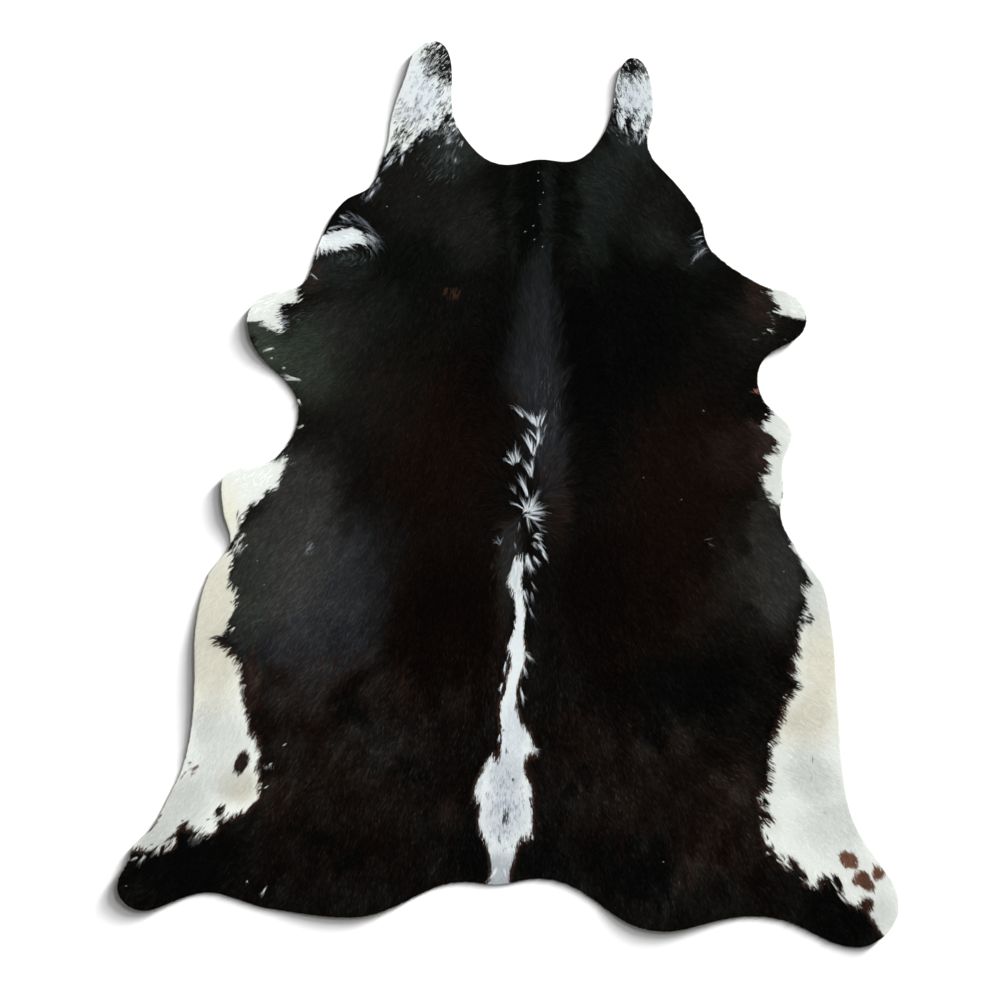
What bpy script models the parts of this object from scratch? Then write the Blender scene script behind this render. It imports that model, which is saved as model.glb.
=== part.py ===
"""Cowhide rug: one whole hide, hair side up, lying flat on the floor.

The hide is a single sheet. Its cut edge runs round the two neck flaps, the forelegs,
the belly and the hind legs. A few low swells lift the flaps, the legs and the belly
edge a little way off the floor, as a tanned hide does; all the rest lies flat.

+X is across the hide, +Y runs up the backbone to the neck and +Z is up. The origin is
on the floor under the middle of the hide.
"""
import math
from typing import NamedTuple

import bmesh
import bpy
from mathutils import Matrix, Vector

# Driving dimensions, in metres.
HIDE_WIDTH = 1.836          # tip to tip of the hind legs
HIDE_LENGTH = 2.130         # neck flap to hind leg
LEATHER_THICKNESS = 0.0020  # the tanned skin
COAT_THICKNESS = 0.0030     # the short hair, lying down on the skin
EDGE_ROUNDING = 0.0022      # where the hair lies over the cut edge
CELL = 0.060                # side of the cells that carry the swells

# The tables below are drawn in millimetres for a hide of this size.
DRAWN_WIDTH = 1836.0
DRAWN_LENGTH = 2130.0

HANDLE_SHARE = 0.36         # a curve handle, as a share of the chord it serves
STEPS_PER_CURVE = 5         # straight steps in each curve of the edge
ROUNDING_STEPS = 2
MERGE_DISTANCE = 0.0001
CUT_SNAP = 0.0005           # a cut passes through a corner that lies this near it
SHARP_ANGLE = 40.0          # degrees, above which an edge is shaded sharp

COAT_COLOUR = (0.012, 0.010, 0.009, 1.0)
COAT_ROUGHNESS = 0.55


class Turn(NamedTuple):
    """A place where the cut edge bends, and the way the edge heads there."""

    place: str
    across: float   # mm right of the middle
    along: float    # mm towards the neck from the middle
    heading: float  # degrees, 0 to the right and 90 towards the neck


class Swell(NamedTuple):
    """A low oval rise of the hide off the floor."""

    place: str
    across: float   # mm, middle of the swell
    along: float
    long_reach: float   # mm, half its length
    short_reach: float  # mm, half its width
    turned: float       # degrees from across the hide
    rise: float         # mm at its middle


# The edge, clockwise from the tip of the left neck flap.
NECK_NOTCH = (
    Turn("left flap tip", -171, 1065, 0),
    Turn("left flap inner shoulder", -131, 990, -90),
    Turn("left flap inner side", -130, 903, -84),
    Turn("notch wall, left", -84, 816, -50),
    Turn("notch floor, left", -2, 774, 0),
    Turn("backbone end", 78, 787, 0),
    Turn("notch floor, right", 137, 781, 0),
    Turn("notch wall, right", 198, 810, 48),
    Turn("right flap inner side", 243, 898, 77),
    Turn("right flap inner shoulder", 260, 985, 74),
)
RIGHT_SHOULDER = (
    Turn("right flap tip", 294, 1026, 0),
    Turn("right flap outer shoulder", 334, 971, -80),
    Turn("right flap outer side", 341, 903, -92),
    Turn("neck waist, right", 327, 825, -90),
    Turn("shoulder top", 369, 757, -46),
    Turn("shoulder slope", 452, 647, -64),
    Turn("armpit edge", 465, 597, -72),
    Turn("armpit", 482, 567, -42),
)
RIGHT_FORELEG = (
    Turn("foreleg top", 586, 495, -28),
    Turn("foreleg corner", 647, 478, -14),
    Turn("foreleg tip", 701, 412, -90),
    Turn("foreleg heel", 680, 367, -140),
    Turn("foreleg back", 616, 331, -142),
    Turn("elbow bay", 586, 271, -90),
)
RIGHT_BELLY = (
    Turn("belly lobe top", 623, 194, -40),
    Turn("belly lobe", 668, 137, -90),
    Turn("belly lobe foot", 646, 78, -102),
    Turn("belly bulge", 647, 5, -92),
    Turn("belly waist", 639, -37, -90),
    Turn("flank top", 675, -126, -58),
    Turn("flank corner", 729, -197, -54),
    Turn("flank", 757, -291, -80),
    Turn("flank middle", 774, -488, -85),
    Turn("flank foot", 785, -643, -84),
)
RIGHT_HIND_LEG = (
    Turn("hind leg front", 816, -780, -66),
    Turn("hind leg shin", 886, -883, -55),
    Turn("hind leg tip", 918, -968, -90),
    Turn("hind leg foot", 885, -1037, -137),
    Turn("hind leg heel", 821, -1065, 180),
    Turn("hind leg back", 701, -1023, 153),
)
RUMP = (
    Turn("thigh bay, right", 574, -992, 180),
    Turn("rump lobe side, right", 452, -1013, -165),
    Turn("rump lobe, right", 367, -1028, 180),
    Turn("tail bay side, right", 231, -975, 142),
    Turn("tail bay, right", 73, -903, 180),
    Turn("tail root", -30, -917, 180),
    Turn("tail bay, left", -103, -911, 180),
    Turn("tail bay side, left", -225, -949, -153),
    Turn("rump lobe, left", -371, -995, 180),
    Turn("rump lobe side, left", -559, -974, 172),
    Turn("thigh bay side, left", -629, -954, 162),
    Turn("thigh bay, left", -705, -936, 180),
)
LEFT_HIND_LEG = (
    Turn("hind leg back", -789, -958, -158),
    Turn("hind leg heel", -857, -979, 180),
    Turn("hind leg tip", -918, -923, 90),
    Turn("hind leg shin", -884, -843, 80),
    Turn("hind leg front", -843, -791, 43),
)
LEFT_BELLY = (
    Turn("flank foot", -799, -717, 63),
    Turn("flank middle", -756, -618, 76),
    Turn("flank", -735, -413, 90),
    Turn("flank top", -733, -319, 83),
    Turn("flank corner", -709, -206, 71),
    Turn("flank nick foot", -672, -148, 47),
    Turn("flank nick", -650, -110, 90),
    Turn("belly lobe foot", -667, -42, 98),
    Turn("belly lobe", -672, 22, 90),
    Turn("belly lobe top", -648, 58, 22),
    Turn("belly lobe root", -578, 69, 12),
    Turn("elbow bay foot", -526, 106, 48),
)
LEFT_FORELEG = (
    Turn("elbow bay", -491, 196, 90),
    Turn("elbow bay top", -517, 259, 127),
    Turn("foreleg back", -578, 319, 130),
    Turn("foreleg tip", -612, 409, 90),
    Turn("foreleg corner", -585, 459, 46),
    Turn("foreleg top", -524, 479, 10),
    Turn("armpit", -484, 492, 36),
)
LEFT_SHOULDER = (
    Turn("armpit edge", -462, 529, 68),
    Turn("shoulder slope", -441, 595, 67),
    Turn("shoulder top", -387, 687, 45),
    Turn("neck waist, left", -333, 715, 32),
    Turn("left flap root", -302, 762, 74),
    Turn("left flap outer foot", -280, 832, 78),
    Turn("left flap outer side", -273, 884, 76),
    Turn("left flap outer slope", -243, 973, 69),
    Turn("left flap outer shoulder", -223, 1032, 66),
)
EDGE = (
    NECK_NOTCH
    + RIGHT_SHOULDER
    + RIGHT_FORELEG
    + RIGHT_BELLY
    + RIGHT_HIND_LEG
    + RUMP
    + LEFT_HIND_LEG
    + LEFT_BELLY
    + LEFT_FORELEG
    + LEFT_SHOULDER
)

SWELLS = (
    Swell("left neck flap", -190, 1010, 190, 110, 80, 7.0),
    Swell("right neck flap", 310, 980, 170, 100, -80, 6.0),
    Swell("left foreleg", -600, 400, 170, 130, -20, 7.0),
    Swell("right foreleg", 690, 400, 180, 130, 20, 6.0),
    Swell("left belly lobe", -665, 10, 190, 110, 80, 8.0),
    Swell("right belly lobe", 665, 110, 170, 100, 90, 6.0),
    Swell("left flank", -735, -430, 280, 120, 90, 7.0),
    Swell("right flank", 775, -500, 300, 130, 95, 7.0),
    Swell("left hind leg", -900, -910, 240, 160, 35, 9.0),
    Swell("right hind leg", 890, -960, 240, 170, -40, 9.0),
    Swell("left rump lobe", -370, -990, 230, 90, 0, 5.0),
    Swell("right rump lobe", 370, -1020, 230, 100, 0, 6.0),
)


def clear_scene() -> None:
    """Removes the objects that the scene opens with."""
    for thing in list(bpy.data.objects):
        bpy.data.objects.remove(thing, do_unlink=True)


def drawn_point(across: float, along: float) -> Vector:
    """Turns a place in the tables into metres on this hide."""
    return Vector((across * HIDE_WIDTH / DRAWN_WIDTH, along * HIDE_LENGTH / DRAWN_LENGTH, 0.0))


def edge_curve() -> bpy.types.Object:
    """Draws the cut edge as one closed Bezier curve, filled and extruded.

    Each handle lies along the edge's heading and is as long as its share of the chord
    to the next turn, so neighbouring curves meet without a corner.
    """
    shape = bpy.data.curves.new("hide_edge", "CURVE")
    shape.dimensions = "2D"
    shape.fill_mode = "BOTH"
    shape.extrude = (LEATHER_THICKNESS + COAT_THICKNESS) / 2.0
    shape.resolution_u = STEPS_PER_CURVE
    shape.render_resolution_u = STEPS_PER_CURVE
    spline = shape.splines.new("BEZIER")
    spline.bezier_points.add(len(EDGE) - 1)
    spline.use_cyclic_u = True
    places = [drawn_point(turn.across, turn.along) for turn in EDGE]
    for index, turn in enumerate(EDGE):
        before = places[index - 1]
        here = places[index]
        after = places[(index + 1) % len(EDGE)]
        angle = math.radians(turn.heading)
        way = Vector((math.cos(angle), math.sin(angle), 0.0))
        knot = spline.bezier_points[index]
        knot.handle_left_type = "FREE"
        knot.handle_right_type = "FREE"
        knot.co = here
        knot.handle_left = here - way * HANDLE_SHARE * (here - before).length
        knot.handle_right = here + way * HANDLE_SHARE * (after - here).length
    return bpy.data.objects.new("hide_edge", shape)


def curve_to_mesh(curve: bpy.types.Object) -> bmesh.types.BMesh:
    """Takes the curve's solid as a mesh, with each cap welded and made one face."""
    bpy.context.scene.collection.objects.link(curve)
    depsgraph = bpy.context.evaluated_depsgraph_get()
    solid = bpy.data.meshes.new_from_object(curve.evaluated_get(depsgraph))
    bpy.data.objects.remove(curve, do_unlink=True)
    blank = bmesh.new()
    blank.from_mesh(solid)
    bpy.data.meshes.remove(solid)
    bmesh.ops.remove_doubles(blank, verts=blank.verts, dist=MERGE_DISTANCE)
    for side in (1.0, -1.0):
        cap = [face for face in blank.faces if face.normal.z * side > 0.9]
        bmesh.ops.dissolve_faces(blank, faces=cap, use_verts=False)
    bmesh.ops.recalc_face_normals(blank, faces=blank.faces)
    bottom = min(vert.co.z for vert in blank.verts)
    bmesh.ops.transform(blank, matrix=Matrix.Translation((0.0, 0.0, -bottom)), verts=blank.verts)
    return blank


def round_top_edge(blank: bmesh.types.BMesh) -> None:
    """Rounds the upper rim, where the hair lies over the cut edge."""
    top = LEATHER_THICKNESS + COAT_THICKNESS
    rim = [
        edge
        for edge in blank.edges
        if all(abs(vert.co.z - top) < MERGE_DISTANCE for vert in edge.verts)
    ]
    bmesh.ops.bevel(
        blank,
        geom=rim,
        offset=EDGE_ROUNDING,
        offset_type="OFFSET",
        segments=ROUNDING_STEPS,
        profile=0.5,
        affect="EDGES",
        clamp_overlap=True,
    )


def cut_into_cells(blank: bmesh.types.BMesh) -> None:
    """Cuts the sheet along straight lines, so that it can follow the swells."""
    for axis, size in ((0, HIDE_WIDTH), (1, HIDE_LENGTH)):
        normal = Vector((0.0, 0.0, 0.0))
        normal[axis] = 1.0
        cells = math.ceil(size / CELL)
        for line in range(1, cells):
            middle = Vector((0.0, 0.0, 0.0))
            middle[axis] = (line / cells - 0.5) * size
            bmesh.ops.bisect_plane(
                blank,
                geom=blank.verts[:] + blank.edges[:] + blank.faces[:],
                dist=CUT_SNAP,
                plane_co=middle,
                plane_no=normal,
            )


def lift_at(x: float, y: float) -> float:
    """Gives the hide's height off the floor, as the sum of the swells that reach there.

    A swell is an oval bell, (1 - r * r) squared times its rise, where r runs from 0 at
    its middle to 1 at its rim.
    """
    lift = 0.0
    for swell in SWELLS:
        middle = drawn_point(swell.across, swell.along)
        angle = math.radians(swell.turned)
        east = x - middle.x
        north = y - middle.y
        lengthwise = (east * math.cos(angle) + north * math.sin(angle)) * 1000.0 / swell.long_reach
        sideways = (north * math.cos(angle) - east * math.sin(angle)) * 1000.0 / swell.short_reach
        inside = max(0.0, 1.0 - lengthwise**2 - sideways**2)
        lift += swell.rise / 1000.0 * inside**2
    return lift


def raise_swells(blank: bmesh.types.BMesh) -> None:
    """Lifts both faces of the sheet alike, so its thickness stays the same."""
    for vert in blank.verts:
        vert.co.z += lift_at(vert.co.x, vert.co.y)


def coat_material() -> bpy.types.Material:
    """Makes the black coat's plain finish."""
    material = bpy.data.materials.new("coat")
    material.use_nodes = True
    shader = material.node_tree.nodes["Principled BSDF"]
    shader.inputs["Base Color"].default_value = COAT_COLOUR
    shader.inputs["Roughness"].default_value = COAT_ROUGHNESS
    shader.inputs["Metallic"].default_value = 0.0
    return material


def make_hide(collection: bpy.types.Collection) -> bpy.types.Object:
    """Makes the hide from its edge curve and puts it in the rug's collection."""
    blank = curve_to_mesh(edge_curve())
    round_top_edge(blank)
    cut_into_cells(blank)
    bmesh.ops.triangulate(blank, faces=blank.faces)
    raise_swells(blank)
    mesh = bpy.data.meshes.new("hide")
    blank.to_mesh(mesh)
    blank.free()
    mesh.materials.append(coat_material())
    mesh.shade_smooth()
    mesh.set_sharp_from_angle(angle=math.radians(SHARP_ANGLE))
    hide = bpy.data.objects.new("hide", mesh)
    collection.objects.link(hide)
    return hide


def main() -> None:
    """Builds the rug."""
    clear_scene()
    collection = bpy.data.collections.new("cowhide_rug")
    bpy.context.scene.collection.children.link(collection)
    make_hide(collection)


main()
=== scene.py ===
"""Cowhide rug: the looks of one whole hide, hair side up, lying flat on a pale floor.

The hide is made of three things, as the real one is: the tanned skin with its suede
underside and cut edge, the dense short undercoat on it, and the hair, laid as about
300,000 flat tapered locks that follow the nap. The colours of the coat are worked out
for each lock from tables of marks, placed on a chart of the hide.
"""

import logging
import math
from dataclasses import dataclass, field
from enum import Enum
from typing import NamedTuple, Optional, Sequence, Union

import bpy
import numpy as np
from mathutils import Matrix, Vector


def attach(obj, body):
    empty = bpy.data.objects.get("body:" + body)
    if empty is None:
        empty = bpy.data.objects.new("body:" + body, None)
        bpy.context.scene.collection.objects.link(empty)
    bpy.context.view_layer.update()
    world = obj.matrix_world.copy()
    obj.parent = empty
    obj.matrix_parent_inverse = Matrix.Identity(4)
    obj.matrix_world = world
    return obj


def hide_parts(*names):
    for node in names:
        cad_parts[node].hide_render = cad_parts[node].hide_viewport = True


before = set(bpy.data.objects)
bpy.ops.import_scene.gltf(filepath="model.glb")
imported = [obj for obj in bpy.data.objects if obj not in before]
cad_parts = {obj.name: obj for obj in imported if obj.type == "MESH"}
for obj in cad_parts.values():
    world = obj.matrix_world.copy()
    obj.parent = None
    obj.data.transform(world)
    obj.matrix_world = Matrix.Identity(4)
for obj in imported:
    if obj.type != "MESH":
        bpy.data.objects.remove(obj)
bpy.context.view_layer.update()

LOG = logging.getLogger("cowhide_rug")
LOCK_MAP = "OFBake"  # the locks' own map: across it runs the hue, up it the lightness

MM = 0.001
SQUARE = 0.00235               # metres in one square of the chart
CHART_MIDDLE = (507.8, 494.2)  # the square that lies over the origin
FLAP_FOOT = 150.0              # squares down the chart: above it lie the neck flaps
LOIN = (560.0, 700.0)          # and between these the haunches' rougher coat sets in
PALE = 0.75                    # height on the dye card from which hair is white
TINY = 1e-12                   # the least that a length is divided by


class Hue(Enum):
    """The tints of the coat, each with its place on the dye card and its linear colour.

    The colours have about the same luminance, so lightness is set apart from hue.
    """

    RUSSET = (0.05, (1.80, 0.80, 0.50))
    BROWN = (0.18, (1.42, 0.91, 0.74))
    CREAM = (0.31, (1.03, 1.01, 0.84))
    PLAIN = (0.44, (0.975, 1.012, 0.965))
    PEARL = (0.57, (0.922, 1.005, 1.055))
    STEEL = (0.70, (0.92, 1.0, 1.17))
    TEAL = (0.83, (0.80, 1.06, 1.01))
    MOSS = (0.96, (0.80, 1.08, 0.82))

    @property
    def place(self) -> float:
        """Gives the tint's place across the dye card."""
        return self.value[0]


RUSSET, BROWN, CREAM, PLAIN, PEARL, STEEL, TEAL, MOSS = Hue


class Sheen(NamedTuple):
    """An oval of the coat with a tint and lightness of its own; on the black coat mostly painted sheen."""

    across: float      # squares on the chart
    down: float
    reach_across: float
    reach_down: float
    hue: Hue
    level: float       # lightness, 0 to 255 as on a screen
    strength: float    # how far it covers the rest, or the share of hairs that have its colour
    turned: float = 0.0  # degrees, clockwise on the chart


class Tuft(NamedTuple):
    """A brush of hairs of one colour, from its root to its tip."""

    hue: Hue
    level: float
    across: float      # squares: the root
    down: float
    tip_across: float
    tip_down: float
    root_width: float
    tip_width: float
    curl: float = 0.0  # how far the tips bend, in squares, above 0 to the left


class Guide(NamedTuple):
    """A spot where the nap runs in a known direction."""

    across: float
    down: float
    heading: float     # degrees, 0 to the right and 90 towards the neck
    reach: float       # squares


class Grain(NamedTuple):
    """The size of a noise's blobs, and what sets it apart from the other noises."""

    long: float        # metres, along the nap where the noise follows it
    short: float
    shift: float


class Lamp(NamedTuple):
    """A far soft lamp."""

    name: str
    strength: float
    height: float      # degrees above the floor
    side: float        # degrees round from straight right, towards the neck
    softness: float    # degrees, how wide it looks from the rug


class Swell(NamedTuple):
    """A low oval rise of the hide off the floor."""

    across: float      # mm, middle of the swell
    along: float
    long_reach: float  # mm, half its length
    short_reach: float
    turned: float      # degrees from across the hide
    rise: float        # mm at its middle


def table_of(kind: type, rows: Sequence[Sequence]) -> tuple:
    """Makes a table of one kind of mark from plain rows."""
    return tuple(kind(*row) for row in rows)


def tufts(hue: Hue, level: float, rows: Sequence[Sequence[float]]) -> tuple[Tuft, ...]:
    """Gives tufts of one colour, from rows of a root, a tip, two widths and perhaps a curl."""
    return tuple(Tuft(hue, level, *row) for row in rows)


SWELLS = table_of(Swell, (
    (-190, 1010, 190, 110, 80, 7.0),      # left neck flap
    (310, 980, 170, 100, -80, 6.0),       # right neck flap
    (-600, 400, 170, 130, -20, 7.0),      # left foreleg
    (690, 400, 180, 130, 20, 6.0),        # right foreleg
    (-665, 10, 190, 110, 80, 8.0),        # left belly lobe
    (665, 110, 170, 100, 90, 6.0),        # right belly lobe
    (-735, -430, 280, 120, 90, 7.0),      # left flank
    (775, -500, 300, 130, 95, 7.0),       # right flank
    (-900, -910, 240, 160, 35, 9.0),      # left hind leg
    (890, -960, 240, 170, -40, 9.0),      # right hind leg
    (-370, -990, 230, 90, 0, 5.0),        # left rump lobe
    (370, -1020, 230, 100, 0, 6.0),       # right rump lobe
))

# White patches, a corner every few centimetres; the ragged edge is worked out.
WHITE_PATCHES = {
    "left neck flap": (
        (385, 30), (470, 30), (472, 126), (458, 128), (449, 122), (446, 129), (444, 121),
        (440, 122), (438, 129), (429, 127), (424, 130), (419, 134), (415, 141), (411, 137),
        (412, 143), (408, 148), (403, 152), (399, 145), (394, 143), (390, 151), (380, 160),
        (365, 150)),
    "right neck flap": (
        (600, 40), (665, 40), (665, 150), (649, 141), (642, 128), (635, 131), (629, 124),
        (621, 129), (617, 114), (604, 104)),
    "left armpit": (
        (308, 260), (317, 254), (324, 249), (333, 250), (340, 249), (350, 246), (358, 243),
        (365, 243), (366, 237), (361, 231), (350, 227), (334, 230), (326, 233), (312, 234)),
    "left foreleg": (
        (302, 276), (299, 290), (298, 304), (284, 303), (281, 315), (280, 325), (286, 331),
        (279, 333), (268, 326), (259, 321), (248, 322), (238, 322), (238, 280), (275, 270)),
    "left belly lobe": (
        (288, 456), (286, 464), (281, 478), (276, 490), (267, 489), (260, 502), (251, 501),
        (245, 514), (240, 526), (236, 536), (228, 548), (214, 548), (206, 470), (240, 450),
        (275, 460)),
    "left flank": (
        (224, 546), (234, 552), (232, 558), (231, 564), (231, 574), (231, 584), (236, 592),
        (236, 607), (231, 617), (229, 626), (225, 636), (213, 636), (221, 646), (228, 651),
        (237, 663), (241, 671), (240, 680), (243, 688), (242, 700), (247, 714), (249, 733),
        (256, 739), (260, 752), (257, 765), (259, 780), (260, 792), (259, 798), (254, 802),
        (250, 807), (246, 812), (240, 812), (236, 815), (231, 815), (228, 820), (224, 817),
        (218, 819), (218, 828), (213, 834), (209, 832), (206, 836), (203, 832), (199, 828),
        (190, 828), (187, 824), (181, 821), (180, 828), (174, 832), (171, 837), (176, 838),
        (174, 846), (169, 849), (166, 843), (158, 846), (150, 849), (144, 850), (139, 846),
        (131, 849), (110, 840), (150, 780), (182, 690), (182, 610), (204, 560)),
    "right foreleg": (
        (768, 280), (771, 292), (771, 300), (779, 307), (774, 313), (781, 315), (789, 317),
        (808, 321), (820, 310), (808, 286), (785, 278)),
    "right belly lobe": (
        (768, 404), (771, 412), (769, 419), (761, 425), (761, 430), (772, 435), (777, 443),
        (775, 453), (766, 456), (768, 466), (768, 475), (761, 476), (764, 488), (770, 503),
        (776, 502), (779, 508), (788, 506), (786, 494), (802, 440), (786, 405)),
    "right flank": (
        (790, 538), (793, 552), (799, 556), (799, 563), (804, 570), (809, 580), (804, 587),
        (803, 596), (806, 603), (802, 615), (803, 624), (797, 638), (799, 651), (794, 660),
        (796, 673), (789, 674), (799, 683), (801, 688), (796, 690), (788, 699), (784, 712),
        (779, 726), (774, 740), (771, 755), (770, 774), (771, 789), (762, 794), (758, 800),
        (760, 808), (768, 811), (773, 817), (768, 822), (761, 824), (762, 832), (764, 840),
        (766, 846), (770, 845), (775, 853), (780, 859), (783, 867), (788, 868), (790, 858),
        (797, 860), (799, 868), (805, 873), (806, 879), (803, 881), (805, 885), (813, 886),
        (818, 887), (820, 878), (826, 874), (831, 879), (841, 887), (845, 893), (838, 890),
        (849, 902), (858, 906), (862, 905), (868, 911), (871, 919), (877, 926), (884, 937),
        (896, 950), (920, 905), (885, 830), (858, 760), (846, 650), (826, 580), (808, 540)),
    "backbone stripe": (
        (516, 557), (513, 566), (510, 574), (508, 583), (511, 590), (515, 597), (516, 612),
        (516, 622), (513, 632), (509, 641), (508, 648), (511, 654), (512, 667), (508, 672),
        (506, 688), (501, 702), (500, 715), (502, 733), (501, 750), (500, 758), (497, 760),
        (492, 755), (488, 761), (482, 772), (477, 782), (474, 794), (480, 802), (481, 808),
        (479, 818), (480, 831), (485, 840), (490, 853), (492, 868), (491, 877), (485, 888),
        (509, 890), (509, 872), (513, 860), (515, 850), (520, 840), (527, 835), (532, 834),
        (532, 812), (530, 804), (532, 794), (528, 781), (524, 772), (524, 760), (528, 755),
        (537, 753), (533, 744), (529, 731), (521, 722), (518, 711), (515, 708), (517, 698),
        (516, 688), (519, 679), (523, 666), (526, 655), (524, 640), (524, 622), (526, 611),
        (524, 600), (522, 588), (521, 580), (524, 570), (523, 558)),
}

# Tints of the white hair, with the flanks' cream and the neck's and backbone's blue.
WHITE_SHEENS = table_of(Sheen, (
    # Left belly lobe.
    (228, 515, 16, 36, CREAM, 223, 0.9),
    # Left flank.
    (218, 585, 32, 44, CREAM, 204, 1.0, 20), (212, 655, 40, 60, CREAM, 197, 1.1),
    (207, 722, 12, 18, PLAIN, 190, 0.7), (222, 742, 45, 46, PLAIN, 205, 1.0, 20),
    (240, 787, 24, 22, CREAM, 183, 0.9),
    # Left hind leg.
    (175, 812, 55, 36, PLAIN, 195, 1.2, -40), (156, 836, 18, 14, PLAIN, 178, 1.0, -30),
    # Right flank.
    (815, 595, 26, 46, PLAIN, 210, 1.0), (822, 662, 26, 50, CREAM, 213, 1.2),
    (804, 722, 38, 30, CREAM, 203, 1.0), (806, 770, 34, 28, PLAIN, 198, 0.9),
    # Right hind leg.
    (835, 822, 56, 50, PLAIN, 206, 1.0), (880, 912, 28, 34, PLAIN, 210, 1.0),
    # Right belly lobe.
    (780, 455, 20, 60, PLAIN, 234, 0.9),
    # Right foreleg.
    (785, 302, 26, 20, PLAIN, 240, 0.9),
    # Left armpit.
    (342, 238, 34, 16, PEARL, 252, 0.7),
    # Neck flaps.
    (425, 95, 40, 50, PEARL, 234, 0.7), (634, 100, 30, 44, PEARL, 228, 0.9),
    # Backbone.
    (516, 640, 14, 90, PEARL, 216, 0.6), (514, 735, 22, 40, PEARL, 210, 1.0),
    (505, 772, 18, 20, PEARL, 196, 1.0), (505, 815, 34, 50, PEARL, 200, 1.0),
    (498, 876, 20, 22, PEARL, 170, 1.6),
))
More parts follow.
